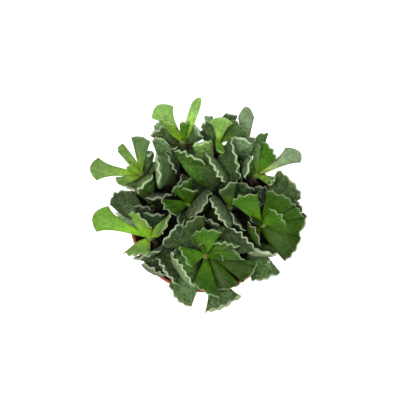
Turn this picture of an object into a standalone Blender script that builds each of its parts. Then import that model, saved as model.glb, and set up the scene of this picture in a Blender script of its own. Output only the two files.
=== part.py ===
"""Potted crinkle-leaf succulent: a nursery pot, its soil and sixteen leafy shoots.

Plan positions are millimetres, +X right and +Y away from the viewer; those of the shoots are
from PLANT_MIDDLE. Heights in the shoots are above the pot's rim. The model stands on Z = 0.
"""
import math

import bmesh
import bpy
import numpy as np

MM = 0.001

# Pot
POT_HEIGHT = 92.0
POT_RIM_RADIUS = 50.0
POT_FOOT_RADIUS = 36.5
POT_WALL = 1.3
POT_FLOOR = 2.0
RIM_BAND_HEIGHT = 9.0
RIM_LIP = 2.2
POT_SIDES = 40
DRAIN_RADIUS = 4.0
DRAIN_CIRCLE = 23.0
DRAIN_COUNT = 5

# Soil
SOIL_TOP = -9.0
SOIL_GAP = 0.3
SOIL_BUMP = 0.8
SOIL_SIDES = 36
SOIL_RINGS = 5

# Stems; a stem leans most in its lower half, and its leaves sit in its upper part
STEM_RADIUS = 2.7
STEM_SIDES = 8
STEM_DEPTH = 9.0
STEM_HOLE_GAP = 0.3
STEM_LEAN = 0.65
LEAF_STEP = 1.3
ROOT_DROP = 1.0
LOWEST_ROOT = 0.75
CROWN_TOP = 1.0

# Leaves; shares are of the way from root to edge
RIM_THICKNESS = 0.9
CRINKLE_PITCH = 2.5
NECK = 0.14
WIDEST_NECK = 0.8
NECK_FLATNESS = 0.9
THICKEST = 0.66
CRINKLE_START = 0.86
LIP_POWER = 6
ROUNDNESS = 2.4
MESH_ROWS = (0.0, 0.3, 0.62, CRINKLE_START, 1.0)

# Where the plant's middle lies from the pot's axis; leaf positions hold for READ_HEIGHT above
# the rim, seen from EYE_HEIGHT above that
PLANT_MIDDLE = (1.4, 3.2)
READ_HEIGHT = 35.0
EYE_HEIGHT = 1065.0

# How far leaves keep clear of each other, and the small steps they move by to do so;
# leaves of one shoot may touch below CROWDED
CLEARANCE = 0.55
BALLS_ACROSS = 7
BALLS_ALONG = 7
FIRST_BALL = 0.3
LEAST_BALL = 1.0
STEM_BALLS = 10
OPEN_STEPS = 140
LONGEST_STEP = 2.0
SIDEWAYS_SHARE = 0.45
PULL_BACK = 0.985
CROWDED = 0.75
NEIGHBOUR_REACH = 38.0
PAIR_BLOCKS = 12
SOIL_CLEARANCE = 1.5
RIM_CLEARANCE = 0.5
RIM_INSIDE = 7.0
RIM_OUTSIDE = 5.0
LOWEST_OUTSIDE = -60.0

# A kind of leaf: thickness and neck width, how fast it widens (1 straight, less rounder), how
# much wider its middle is, the share of its width that opens late as a lip, the bulge of its
# edge and the crinkle there, the arch of its middle, how far its end hooks back up, and the
# cup across it
KINDS = {
    "old": dict(thick=5.0, neck=4.6, swell=0.45, belly=0.0, lip=0.0, bulge=0.16, crinkle=0.9,
                arch=-0.12, hook=0.1, cup=0.0),
    "plump": dict(thick=6.4, neck=5.0, swell=0.5, belly=0.26, lip=0.0, bulge=0.16, crinkle=0.9,
                  arch=-0.16, hook=0.25, cup=0.0),
    "barrel": dict(thick=6.4, neck=5.0, swell=0.5, belly=0.3, lip=0.0, bulge=0.1, crinkle=0.9,
                   arch=-0.05, hook=0.1, cup=0.0),
    "oval": dict(thick=4.0, neck=3.4, swell=0.45, belly=0.06, lip=0.0, bulge=0.4, crinkle=0.7,
                 arch=-0.04, hook=0.0, cup=0.0),
    "bowl": dict(thick=5.0, neck=4.6, swell=0.5, belly=0.0, lip=0.0, bulge=0.08, crinkle=1.0,
                 arch=-0.15, hook=0.55, cup=0.0),
    "spade": dict(thick=5.0, neck=4.6, swell=1.3, belly=0.0, lip=0.0, bulge=0.12, crinkle=0.9,
                  arch=-0.06, hook=0.3, cup=0.0),
    "scoop": dict(thick=5.0, neck=4.6, swell=0.4, belly=0.0, lip=0.0, bulge=0.05, crinkle=1.0,
                  arch=-0.3, hook=0.3, cup=0.0),
    "curl": dict(thick=3.4, neck=3.0, swell=0.7, belly=0.0, lip=0.0, bulge=0.12, crinkle=1.0,
                 arch=-0.15, hook=0.4, cup=0.03),
    "wedge": dict(thick=3.8, neck=2.6, swell=1.0, belly=0.0, lip=0.0, bulge=0.14, crinkle=0.9,
                  arch=-0.05, hook=0.0, cup=0.03),
    "blade": dict(thick=3.2, neck=2.6, swell=1.0, belly=0.0, lip=0.1, bulge=0.2, crinkle=0.25,
                  arch=0.0, hook=0.0, cup=0.03),
    "mid": dict(thick=3.6, neck=3.0, swell=0.8, belly=0.0, lip=0.1, bulge=0.14, crinkle=1.1,
                arch=-0.03, hook=0.0, cup=0.04),
    "tongue": dict(thick=3.4, neck=3.0, swell=0.4, belly=0.0, lip=0.0, bulge=0.55, crinkle=0.4,
                   arch=-0.03, hook=0.0, cup=0.05),
    "fan": dict(thick=2.9, neck=2.7, swell=1.0, belly=0.0, lip=0.5, bulge=0.35, crinkle=0.15,
                arch=0.07, hook=0.0, cup=-0.04),
    "bud": dict(thick=2.4, neck=2.2, swell=0.8, belly=0.0, lip=0.1, bulge=0.22, crinkle=0.5,
                arch=0.0, hook=0.0, cup=0.05),
}

# Each shoot: where its stem leaves the soil, its crown, and its leaves from the youngest down.
# Each leaf: kind, the two ends of its crinkled edge in plan, the edge's height, how much
# higher the second end is than the first, and its own bulge where the kind's doesn't fit.
SHOOTS = {
    "shoot_bottom": dict(foot=(-1, -22), crown=(-0.5, -28.0, 27), leaves=[
        ("bud", (9.5, -26.8), (10.5, -31.0), 37, 0),
        ("bud", (-5.0, -20.5), (-1.5, -20.0), 37, 0),
        ("mid", (-9.5, -13.5), (10.5, -12.0), 38, 0),
        ("mid", (15.5, -23.8), (24.8, -30.5), 33, 0),
        ("mid", (-9.5, -35.5), (-17.0, -21.5), 33, 0),
        ("curl", (4.5, -18.5), (22.0, -21.5), 36, -3),
        ("mid", (-16.5, -12.0), (-1.5, -0.8), 39, 0),
        ("wedge", (8.0, -54.0), (-8.5, -45.0), 25, 0),
        ("old", (-28.5, -18.5), (-12.5, -3.5), 31, 0),
        ("old", (14.0, -7.5), (32.0, -23.5), 32, 0),
        ("wedge", (32.0, -31.5), (23.5, -44.8), 20, 0),
        ("wedge", (21.5, -45.5), (7.5, -49.0), 14, 0),
        ("bowl", (-8.5, -48.5), (-23.0, -25.5), 22, 0),
        ("mid", (-3.0, -47.0), (-9.0, -43.0), 14, 0),
        ("old", (-19.5, -34.0), (-20.0, -20.0), 14, 0),
        ("spade", (22.6, -53.5), (-1.5, -63.8), 9, 0),
        ("old", (-10.0, -61.0), (-24.0, -46.5), 9, 0),
    ]),
    "shoot_right": dict(foot=(29, -4), crown=(37.2, -7.8, 18), leaves=[
        ("bud", (28.5, -7.5), (27.5, -3.0), 30, 0),
        ("mid", (41.0, 4.0), (51.0, -8.0), 33, 0),
        ("mid", (16.0, 6.5), (33.3, 12.8), 36, 0),
        ("curl", (35.8, -20.5), (27.2, -5.0), 32, 0),
        ("mid", (38.5, 16.0), (57.0, 6.0), 27, 0),
        ("mid", (48.5, 8.0), (62.0, -4.0), 23, 0),
        ("old", (63.0, 0.0), (60.0, -15.0), 16, 0),
        ("old", (60.0, -15.5), (49.5, -31.0), 11, 0),
        ("old", (31.0, 17.0), (39.5, 14.5), 14, 0),
        ("old", (57.0, 8.0), (61.5, 0.0), 9, 0),
        ("old", (45.5, 27.0), (61.5, 10.0), 14, 0),
    ]),
    "shoot_right_upper": dict(foot=(26, 20), crown=(32.5, 25.0, 18), leaves=[
        ("curl", (45.0, 23.0), (39.5, 17.5), 25, 0),
        ("bud", (27.8, 27.0), (30.2, 31.0), 24, 0),
        ("tongue", (30.8, 43.0), (35.2, 42.0), 34, 3),
        ("mid", (37.0, 46.5), (44.5, 34.0), 32, 0),
        ("fan", (50.5, 41.8), (60.3, 32.0), 26, 0),
        ("old", (25.5, 21.5), (27.4, 37.5), 36, 0),
        ("mid", (30.5, 49.0), (38.6, 51.3), 19, 0),
    ]),
    "shoot_top_right": dict(foot=(22, 29), crown=(25.0, 34.0, 6), leaves=[
        ("oval", (18.0, 46.8), (32.0, 44.0), 27, 0),
        ("blade", (20.3, 61.5), (30.8, 61.0), 17, 0, 0.7),
        ("old", (28.5, 49.0), (34.0, 43.0), 6, 0),
    ]),
    "shoot_top_centre": dict(foot=(6, 36), crown=(8.0, 47.0, 20), leaves=[
        ("tongue", (9.6, 38.8), (3.8, 39.5), 35, 0),
        ("fan", (1.5, 57.5), (17.0, 57.0), 34, 0),
        ("mid", (16.0, 60.0), (26.0, 50.0), 24, 0),
        ("old", (-4.0, 55.5), (2.5, 58.5), 20, 0),
        ("old", (10.5, 62.5), (20.0, 61.5), 14, 0),
        ("old", (-1.5, 61.0), (4.0, 62.0), 12, 0),
        ("old", (-5.5, 50.5), (2.0, 55.0), 8, 0),
        ("old", (4.0, 54.5), (13.0, 54.5), 8, 0),
    ]),
    "shoot_top": dict(foot=(-12, 36), crown=(-15.5, 47.0, 19), leaves=[
        ("mid", (-17.5, 56.5), (-11.0, 58.5), 31, 0),
        ("mid", (-30.5, 61.0), (-19.5, 55.0), 33, 0),
        ("tongue", (-9.2, 70.8), (-3.0, 70.2), 29, 4),
        ("fan", (-35.0, 60.5), (-21.0, 68.2), 24, 0),
        ("old", (-9.0, 56.0), (-2.0, 47.5), 22, 0),
        ("old", (-36.5, 48.5), (-25.0, 53.0), 22, 0),
        ("old", (-34.0, 54.0), (-29.5, 58.0), 16, 0),
        ("old", (0.0, 36.0), (-14.0, 28.0), 9, 0),
        ("old", (-29.5, 40.5), (-21.0, 54.0), 7, 0),
        ("old", (-13.0, 55.0), (-5.0, 53.5), 7, 0),
    ]),
    "shoot_left_upper": dict(foot=(-34.5, 20), crown=(-43.5, 26.0, 16), leaves=[
        ("bud", (-51.5, 27.5), (-47.0, 31.5), 25, 0),
        ("blade", (-48.5, 48.0), (-36.0, 45.8), 29, 0),
        ("tongue", (-57.0, 39.5), (-53.0, 44.0), 27, 3, 0.3),
        ("fan", (-70.3, 20.5), (-69.3, 35.5), 20, 0, 0.33),
        ("mid", (-54.0, 17.5), (-57.5, 23.0), 17, 4, 0.3),
        ("plump", (-43.5, 36.0), (-33.8, 38.5), 19, 0, 0.35),
        ("old", (-46.0, 13.5), (-55.0, 19.0), 11, 0),
        ("old", (-37.5, 35.0), (-32.8, 28.0), 5, 0),
    ]),
    "shoot_left_lower": dict(foot=(-31, -14), crown=(-37.5, -16.5, 18), leaves=[
        ("mid", (-49.5, 0.5), (-34.5, -9.0), 32, 0),
        ("mid", (-23.7, -1.0), (-28.0, -14.0), 31, 0),
        ("mid", (-35.8, -26.3), (-53.8, -25.8), 24, 0),
        ("fan", (-70.5, -12.5), (-63.0, 4.3), 22, 0),
        ("old", (-54.5, -4.5), (-58.5, 0.8), 18, 3),
        ("old", (-41.0, -1.0), (-26.5, -2.0), 20, 0),
        ("old", (-47.0, 4.5), (-35.5, 1.5), 14, 0),
        ("old", (-61.5, 6.0), (-46.0, 14.5), 10, 0, 0.3),
    ]),
    "shoot_left": dict(foot=(-33, 4), crown=(-36.5, 6.0, 5), leaves=[
        ("plump", (-46.0, 13.0), (-36.3, 25.5), 22, 0),
        ("old", (-39.5, 8.5), (-21.5, 12.0), 20, 0),
    ]),
    "shoot_middle_left": dict(foot=(-10, 5), crown=(-11.0, 6.0, 19), leaves=[
        ("mid", (-15.5, 14.0), (-4.5, 13.8), 31, 0),
        ("mid", (-22.5, 13.5), (-9.0, 21.5), 29, 0),
        ("mid", (-20.0, -3.0), (-29.0, 9.0), 28, 0),
    ]),
    "shoot_inner_left": dict(foot=(-18, 19), crown=(-21.0, 20.5, 6), leaves=[
        ("barrel", (-30.1, 17.5), (-32.0, 38.5), 34, 0),
        ("old", (-18.3, 22.5), (-23.5, 37.4), 21, 0),
        ("oval", (-35.5, 44.5), (-24.0, 41.5), 22, 0),
        ("old", (-24.0, 40.5), (-15.5, 45.0), 8, 0),
    ]),
    "shoot_inner_top": dict(foot=(4, 12), crown=(4.0, 13.5, 7), leaves=[
        ("plump", (0.5, 38.5), (11.5, 18.5), 36, 0),
        ("old", (-20.5, 40.5), (0.5, 32.0), 38, 0),
        ("old", (14.0, 47.8), (21.3, 21.0), 36, 0),
        ("old", (-9.0, 43.8), (4.0, 45.8), 27, 0, 0.3),
        ("old", (-15.7, 7.0), (-14.3, 23.0), 12, 0),
        ("old", (20.5, 25.0), (23.3, 9.0), 8, 0),
    ]),
    "shoot_middle": dict(foot=(1, -3), crown=(1.0, -2.0, 10), leaves=[
        ("plump", (2.3, 10.5), (14.0, -8.8), 37, 0),
        ("plump", (-12.6, -3.2), (0.6, 15.6), 34, 0),
        ("old", (16.5, 2.0), (26.8, -11.0), 31, 0),
        ("old", (8.0, -9.5), (-1.0, -2.7), 27, 0),
        ("old", (2.7, -20.7), (-12.3, -15.3), 14, 0),
        ("old", (-15.3, -13.0), (-18.1, 2.8), 12, 0),
        ("old", (18.5, -7.6), (9.5, -18.4), 15, 0),
    ]),
    "shoot_middle_right": dict(foot=(14, 4), crown=(15.0, 3.5, 16), leaves=[
        ("mid", (7.5, 12.0), (19.0, 22.0), 33, 0),
        ("old", (20.0, 19.5), (31.0, 14.5), 20, 0),
        ("old", (33.0, 8.5), (35.0, 3.5), 18, 0),
    ]),
    "shoot_lower_right": dict(foot=(26, -18), crown=(28.0, -19.5, 4), leaves=[
        ("scoop", (45.4, -26.0), (25.4, -24.6), 18, 0),
        ("old", (47.5, -38.3), (29.0, -43.3), 11, 0),
        ("old", (41.5, -30.5), (37.5, -33.5), 8, 0),
    ]),
    "shoot_lower_left": dict(foot=(-19, -23), crown=(-20.0, -24.0, 4), leaves=[
        ("old", (-46.5, -31.3), (-28.0, -25.5), 14, 0),
        ("old", (-20.5, -45.8), (-32.5, -27.0), 16, 0),
        ("bowl", (-26.0, -40.5), (-42.0, -32.5), 10, 0),
        ("old", (-28.0, -21.0), (-21.0, -18.5), 15, 0),
    ]),
}

COLOURS = {
    "pot": (0.36, 0.125, 0.055, 1.0),
    "soil": (0.022, 0.017, 0.012, 1.0),
    "shoot": (0.075, 0.150, 0.045, 1.0),
}


def unit(vector):
    return vector / np.maximum(np.linalg.norm(vector, axis=-1, keepdims=True), 1e-9)


def stem_point(shoot, share):
    """Centre of the stem, from its foot in the soil (0) to its crown (1)."""
    foot = np.array([*shoot["foot"], SOIL_TOP]) + [*PLANT_MIDDLE, 0]
    crown = np.array(shoot["crown"]) + [*PLANT_MIDDLE, 0]
    middle = (foot + crown) / 2
    middle[:2] = foot[:2] + (crown - foot)[:2] * STEM_LEAN
    return curve(foot, middle, crown, share)


def curve(start, pull, end, share):
    """A point on the bend from start to end that leaves towards pull and arrives from it."""
    share = np.asarray(share, float)[..., None]
    return start * (1 - share) ** 2 + pull * 2 * share * (1 - share) + end * share ** 2


def spot(place, height):
    """A place read in plan, carried to its own height along the line of sight."""
    nearer = 1 + (READ_HEIGHT - height) / EYE_HEIGHT
    return np.array([place[0] * nearer, place[1] * nearer, height]) + [*PLANT_MIDDLE, 0]


class Leaf:
    """One leaf: a centre line from its root to its crinkled edge, and a blade about it."""

    def __init__(self, shoot, order, entry):
        kind, first, second, height, rise, *bulge = entry
        self.kind = KINDS[kind]
        self.bulge = bulge[0] if bulge else self.kind["bulge"]
        first, second = spot(first, height - rise / 2), spot(second, height + rise / 2)
        stem_length = shoot["crown"][2] - SOIL_TOP
        drop = min(ROOT_DROP + LEAF_STEP * order, LOWEST_ROOT * stem_length)
        self.root = stem_point(shoot, 1 - drop / stem_length)
        self.edge = (first + second) / 2
        heading = self.edge - self.root
        right = np.array([heading[1], -heading[0], 0.0])
        if np.dot(second - first, right) < 0:
            first, second = second, first
        self.width = float(np.linalg.norm(second - first))
        self.side_tip = (second - first) / self.width
        self.side_root = unit(right)
        self.length = float(np.linalg.norm(heading))
        lift = unit(np.cross(self.side_root, heading)) * self.length
        self.bend = ((self.root + self.edge) / 2 + heading * self.kind["hook"]
                     + lift * self.kind["arch"] * 2)
        self.columns = max(4, 2 * round(self.width / CRINKLE_PITCH / 2))

    def move(self, shift):
        """Carry the edge along by shift; the blade follows in proportion."""
        self.edge = self.edge + shift
        self.bend = self.bend + shift / 2

    def frame(self, v):
        """Centre, side, normal and forward directions at v, 0 at the root and 1 at the edge."""
        centre = curve(self.root, self.bend, self.edge, v)
        v = np.asarray(v, float)[..., None]
        forward = unit((self.bend - self.root) * (1 - v) + (self.edge - self.bend) * v)
        ease = v * v * (3 - 2 * v)
        side = unit(self.side_root * (1 - ease) + self.side_tip * ease)
        normal = unit(np.cross(side, forward))
        return centre, side, normal, forward

    def spread(self, v):
        """How far the blade has opened from its neck, 0 to 1."""
        return np.clip((v - NECK) / (1 - NECK), 0, 1)

    def blade_width(self, v):
        neck = min(self.kind["neck"], self.width * WIDEST_NECK)
        lip, share, swell = self.kind["lip"], self.spread(v), self.kind["swell"]
        opened = (1 - lip) * share ** swell + lip * share ** LIP_POWER
        opened = opened + self.kind["belly"] * np.sin(math.pi * share)
        return neck + (self.width - neck) * opened

    def half_thickness(self, u, v):
        """Round at the neck, plumpest at THICKEST, thin at the crinkled edge."""
        neck, thick = self.kind["neck"] * NECK_FLATNESS, self.kind["thick"]
        rising = neck + (thick - neck) * np.clip(v / THICKEST, 0, 1)
        fall = np.clip((v - THICKEST) / (1 - THICKEST), 0, 1)
        middle = RIM_THICKNESS + (rising - RIM_THICKNESS) * np.sqrt(1 - fall ** 2)
        return 0.5 * middle * np.sqrt(np.clip(1 - np.abs(u) ** ROUNDNESS, 0, 1))

    def point(self, u, v, face):
        """A point of the blade: u across (-1 to 1), v along, face +1 upper and -1 lower."""
        u, v = np.broadcast_arrays(np.asarray(u, float), np.asarray(v, float))
        centre, side, normal, forward = self.frame(v)
        width, open_share = self.blade_width(v), self.spread(v)
        ramp = np.clip((v - CRINKLE_START) / (1 - CRINKLE_START), 0, 1)
        crinkle = np.cos(math.pi * self.columns * (u + 1) / 2) * ramp * self.kind["crinkle"]
        lift = self.kind["cup"] * width * u ** 2 + crinkle + face * self.half_thickness(u, v)
        reach = self.bulge * self.width * (1 - u ** 2) * open_share ** 2
        return (centre + side * (u * width / 2)[..., None] + normal * lift[..., None]
                + forward * reach[..., None])


def all_leaves():
    """Every leaf, by shoot, opened out so that no blade cuts another."""
    grown = {name: [Leaf(shoot, order, entry) for order, entry in enumerate(shoot["leaves"])]
             for name, shoot in SHOOTS.items()}
    open_out(grown)
    return grown


def sample_balls(leaf):
    """Ball centres over a blade, their radii, and how far along the blade each lies."""
    u, v = np.meshgrid(np.linspace(-1, 1, BALLS_ACROSS), np.linspace(FIRST_BALL, 1, BALLS_ALONG))
    u, v = u.ravel(), v.ravel()
    radius = np.maximum(leaf.half_thickness(u, v), LEAST_BALL) + CLEARANCE / 2
    return leaf.point(u, v, 0), radius, v


def stem_balls():
    """Ball centres along every stem, with the number of the shoot each belongs to."""
    share = np.linspace(0, 1, STEM_BALLS)
    centres = [stem_point(shoot, share) for shoot in SHOOTS.values()]
    owner = np.repeat(np.arange(len(SHOOTS)), len(share))
    return np.concatenate(centres), owner


def open_out(grown):
    """Move leaves apart by small steps until their balls no longer meet."""
    leaves = [leaf for group in grown.values() for leaf in group]
    owner = np.repeat(np.arange(len(grown)), [len(group) for group in grown.values()])
    balls = [sample_balls(leaf) for leaf in leaves]
    start = np.array([ball[0] for ball in balls])
    radius = np.array([ball[1] for ball in balls])
    along = balls[0][2]
    stems, stem_owner = stem_balls()
    shift = np.zeros((len(leaves), 3))
    first, second = np.triu_indices(len(leaves), 1)
    middle = start.mean(axis=1)
    near = np.linalg.norm(middle[first] - middle[second], axis=1) < NEIGHBOUR_REACH
    first, second = first[near], second[near]
    stiffness = np.array([1.0, 1.0, 1 / SIDEWAYS_SHARE])
    for _ in range(OPEN_STEPS):
        centre = start + shift[:, None, :] * along[None, :, None]
        push = np.zeros_like(shift)
        add_leaf_pushes(push, centre, radius, along, owner, first, second)
        add_fixed_pushes(push, centre, radius, along, owner, stems, stem_owner)
        shift = (shift + push * stiffness * SIDEWAYS_SHARE) * PULL_BACK
    for leaf, move in zip(leaves, shift):
        leaf.move(move)


def add_leaf_pushes(push, centre, radius, along, owner, first, second):
    """Part each pair of blades at the place where they overlap most."""
    for block in np.array_split(np.arange(len(first)), PAIR_BLOCKS):
        a, b = first[block], second[block]
        apart = centre[a][:, :, None, :] - centre[b][:, None, :, :]
        distance = np.linalg.norm(apart, axis=-1)
        overlap = radius[a][:, :, None] + radius[b][:, None, :] - distance
        rooted = (owner[a] == owner[b])[:, None, None]
        low = (along[:, None] < CROWDED) | (along[None, :] < CROWDED)
        overlap = np.where(rooted & low[None], -1.0, overlap)
        flat = overlap.reshape(len(block), -1)
        worst = flat.argmax(axis=1)
        depth = flat[np.arange(len(block)), worst]
        i, j = np.unravel_index(worst, (len(along), len(along)))
        direction = unit(apart[np.arange(len(block)), i, j] + [0, 0, 1e-4])
        amount = np.clip(depth, 0, LONGEST_STEP)[:, None] * direction / 2
        np.add.at(push, a, amount / along[i][:, None])
        np.add.at(push, b, -amount / along[j][:, None])


def add_fixed_pushes(push, centre, radius, along, owner, stems, stem_owner):
    """Keep blades off the other stems, the pot's rim and the soil."""
    for number in range(len(centre)):
        others = stems[stem_owner != owner[number]]
        apart = centre[number][:, None, :] - others[None]
        distance = np.linalg.norm(apart, axis=-1)
        overlap = radius[number][:, None] + STEM_RADIUS - distance
        i, j = np.unravel_index(overlap.argmax(), overlap.shape)
        if overlap[i, j] > 0:
            push[number] += unit(apart[i, j]) * overlap[i, j] / along[i]
        sunk = ground_under(centre[number]) + radius[number] - centre[number][:, 2]
        deepest = sunk.argmax()
        if sunk[deepest] > 0:
            push[number, 2] += sunk[deepest] / along[deepest]


def ground_under(places):
    """The least height for a leaf over the soil, over the pot's rim or outside the pot."""
    reach = np.linalg.norm(places[:, :2], axis=1) - POT_RIM_RADIUS
    ground = np.where(reach > 0, LOWEST_OUTSIDE, SOIL_TOP + SOIL_CLEARANCE)
    return np.where((reach > -RIM_INSIDE) & (reach < RIM_OUTSIDE), RIM_CLEARANCE, ground)


def clear_scene():
    for thing in list(bpy.data.objects):
        bpy.data.objects.remove(thing)


def plain_material(name, colour, roughness):
    material = bpy.data.materials.new(name)
    material.use_nodes = True
    shader = material.node_tree.nodes["Principled BSDF"]
    shader.inputs["Base Color"].default_value = colour
    shader.inputs["Roughness"].default_value = roughness
    return material


def add_object(name, bm, material=None):
    """Turn a bmesh into an object of the scene, its faces all turned outwards."""
    bmesh.ops.recalc_face_normals(bm, faces=bm.faces)
    mesh = bpy.data.meshes.new(name)
    bm.to_mesh(mesh)
    bm.free()
    thing = bpy.data.objects.new(name, mesh)
    bpy.context.scene.collection.objects.link(thing)
    if material:
        mesh.materials.append(material)
    return thing


def to_metres(point):
    """Millimetres above the rim to metres above the ground."""
    x, y, z = point
    return (x * MM, y * MM, (z + POT_HEIGHT) * MM)


def zip_rows(bm, lower, upper):
    """Fill between two rows of vertices with different counts, by their share across."""
    i = j = 0
    last_i, last_j = len(lower) - 1, len(upper) - 1
    while i < last_i or j < last_j:
        step_lower = j == last_j or (i < last_i and (i + 1) / last_i <= (j + 1) / last_j + 1e-9)
        if step_lower:
            corners = (lower[i], lower[i + 1], upper[j])
            i += 1
        else:
            corners = (lower[i], upper[j + 1], upper[j])
            j += 1
        if len(set(corners)) == 3:
            bm.faces.new(corners)


def leaf_mesh(leaf):
    """A closed blade of few sides, split alike on both faces."""
    bm = bmesh.new()
    few, middle = max(2, leaf.columns // 4), max(2, leaf.columns // 2)
    tops, bottoms = [], []
    for v, columns in zip(MESH_ROWS, (2, 2, few, middle, leaf.columns)):
        u = np.linspace(-1, 1, columns + 1)
        top = [bm.verts.new(to_metres(p)) for p in leaf.point(u, v, 1)]
        inner = [bm.verts.new(to_metres(p)) for p in leaf.point(u[1:-1], v, -1)]
        tops.append(top)
        bottoms.append([top[0], *inner, top[-1]])
    for face_rows in (tops, bottoms):
        for lower, upper in zip(face_rows, face_rows[1:]):
            zip_rows(bm, lower, upper)
    zip_rows(bm, tops[0], bottoms[0])
    zip_rows(bm, tops[-1], bottoms[-1])
    return bm


def tube_mesh(centres, radii):
    """A closed tube through level rings; a radius of zero ends it in a point."""
    bm = bmesh.new()
    turns = np.linspace(0, 2 * math.pi, STEM_SIDES, endpoint=False)
    rings = []
    for centre, radius in zip(centres, radii):
        ring = [bm.verts.new(to_metres(centre + radius * np.array([math.cos(t), math.sin(t), 0])))
                for t in turns]
        rings.append(ring)
    for lower, upper in zip(rings, rings[1:]):
        for k in range(STEM_SIDES):
            after = (k + 1) % STEM_SIDES
            bm.faces.new((lower[k], lower[after], upper[after], upper[k]))
    bm.faces.new(rings[0])
    bm.faces.new(rings[-1])
    return bm


def stem_mesh(shoot):
    """The stem from its foot in the soil to a blunt crown."""
    above = stem_point(shoot, [0.0, 0.35, 0.7, 1.0])
    foot = above[0] - [0, 0, STEM_DEPTH - SOIL_GAP]
    crown = above[-1] + [0, 0, CROWN_TOP]
    centres = [foot, *above, crown]
    radii = [STEM_RADIUS] * 4 + [STEM_RADIUS * 0.85, STEM_RADIUS * 0.3]
    return tube_mesh(centres, radii)


def join_with(target, parts):
    """Fuse loose parts into the target with one Boolean union, then remove them."""
    group = bpy.data.collections.new(target.name + "_parts")
    bpy.context.scene.collection.children.link(group)
    for part in parts:
        bpy.context.scene.collection.objects.unlink(part)
        group.objects.link(part)
    union = target.modifiers.new("Join", "BOOLEAN")
    union.operation = "UNION"
    union.solver = "EXACT"
    union.operand_type = "COLLECTION"
    union.collection = group
    apply_modifiers(target)
    for part in parts:
        bpy.data.objects.remove(part)
    bpy.data.collections.remove(group)


def apply_modifiers(thing):
    graph = bpy.context.evaluated_depsgraph_get()
    fused = bpy.data.meshes.new_from_object(thing.evaluated_get(graph))
    thing.modifiers.clear()
    thing.data = fused


def keep_outer_skin(thing):
    """Drop loose scraps and the inner walls of sealed hollows."""
    bm = bmesh.new()
    bm.from_mesh(thing.data)
    bmesh.ops.triangulate(bm, faces=bm.faces)
    islands = find_islands(bm)
    islands.sort(key=len)
    loose = [vert for island in islands[:-1] for vert in island]
    bmesh.ops.delete(bm, geom=loose, context="VERTS")
    bm.to_mesh(thing.data)
    bm.free()


def find_islands(bm):
    """The groups of vertices that faces join together."""
    unseen = set(bm.verts)
    islands = []
    while unseen:
        front = [unseen.pop()]
        island = []
        while front:
            vert = front.pop()
            island.append(vert)
            for edge in vert.link_edges:
                other = edge.other_vert(vert)
                if other in unseen:
                    unseen.remove(other)
                    front.append(other)
        islands.append(island)
    return islands


def build_shoot(name, shoot, leaves, material):
    stem = add_object(name, stem_mesh(shoot), material)
    parts = [add_object(f"{name}_leaf_{n}", leaf_mesh(leaf)) for n, leaf in enumerate(leaves)]
    join_with(stem, parts)
    keep_outer_skin(stem)


def pot_profile():
    """Radius and height of the pot's section, up the outside and down the inside."""
    slope = (POT_RIM_RADIUS - RIM_LIP - POT_FOOT_RADIUS) / (POT_HEIGHT - RIM_BAND_HEIGHT)
    band_low = POT_HEIGHT - RIM_BAND_HEIGHT
    neck = POT_RIM_RADIUS - RIM_LIP + 0.5
    outside = [
        (POT_FOOT_RADIUS - 1.5, 0.0), (POT_FOOT_RADIUS, 1.5),
        (POT_FOOT_RADIUS + slope * band_low, band_low),
        (neck + 0.9, band_low + 0.3), (POT_RIM_RADIUS, POT_HEIGHT - 1.6),
        (POT_RIM_RADIUS - 0.5, POT_HEIGHT - 0.4), (POT_RIM_RADIUS - 1.1, POT_HEIGHT),
    ]
    inside = [
        (POT_RIM_RADIUS - RIM_LIP + 0.4, POT_HEIGHT - 0.5),
        (POT_RIM_RADIUS - RIM_LIP - 0.1, POT_HEIGHT - 1.8),
        (neck + 0.3 - POT_WALL, band_low - 0.5),
        (POT_FOOT_RADIUS - POT_WALL + slope * POT_FLOOR, POT_FLOOR),
    ]
    return outside + inside


def build_pot(material):
    """A turned shell with a flat floor and round drain holes."""
    bm = bmesh.new()
    turns = np.linspace(0, 2 * math.pi, POT_SIDES, endpoint=False)
    rings = [[bm.verts.new((r * MM * math.cos(t), r * MM * math.sin(t), z * MM)) for t in turns]
             for r, z in pot_profile()]
    for lower, upper in zip(rings, rings[1:]):
        for k in range(POT_SIDES):
            after = (k + 1) % POT_SIDES
            bm.faces.new((lower[k], lower[after], upper[after], upper[k]))
    bm.faces.new(rings[0])
    bm.faces.new(rings[-1])
    pot = add_object("pot", bm, material)
    pot.data.shade_smooth()
    drill(pot, drain_places(), DRAIN_RADIUS, -1.0, POT_FLOOR + 1.0)
    pot.data.set_sharp_from_angle(angle=math.radians(35))


def drain_places():
    turns = np.linspace(0, 2 * math.pi, DRAIN_COUNT, endpoint=False)
    return [(DRAIN_CIRCLE * math.cos(t), DRAIN_CIRCLE * math.sin(t)) for t in turns]


def drill(thing, places, radius, low, high, sides=12):
    """Cut upright round holes, from low to high above the ground, in one Boolean."""
    cutter_mesh = bmesh.new()
    for x, y in places:
        made = bmesh.ops.create_cone(cutter_mesh, cap_ends=True, segments=sides,
                                     radius1=radius * MM, radius2=radius * MM,
                                     depth=(high - low) * MM)
        middle = (x * MM, y * MM, (low + high) / 2 * MM)
        bmesh.ops.translate(cutter_mesh, verts=made["verts"], vec=middle)
    cutter = add_object(thing.name + "_cutter", cutter_mesh)
    cut = thing.modifiers.new("Drill", "BOOLEAN")
    cut.operation = "DIFFERENCE"
    cut.solver = "EXACT"
    cut.object = cutter
    apply_modifiers(thing)
    bpy.data.objects.remove(cutter)


def soil_radius(height):
    """Inner radius of the pot at a height above the ground, less the gap to the soil."""
    slope = (POT_RIM_RADIUS - RIM_LIP - POT_FOOT_RADIUS) / (POT_HEIGHT - RIM_BAND_HEIGHT)
    return POT_FOOT_RADIUS - POT_WALL + slope * height - SOIL_GAP * 2


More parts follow.
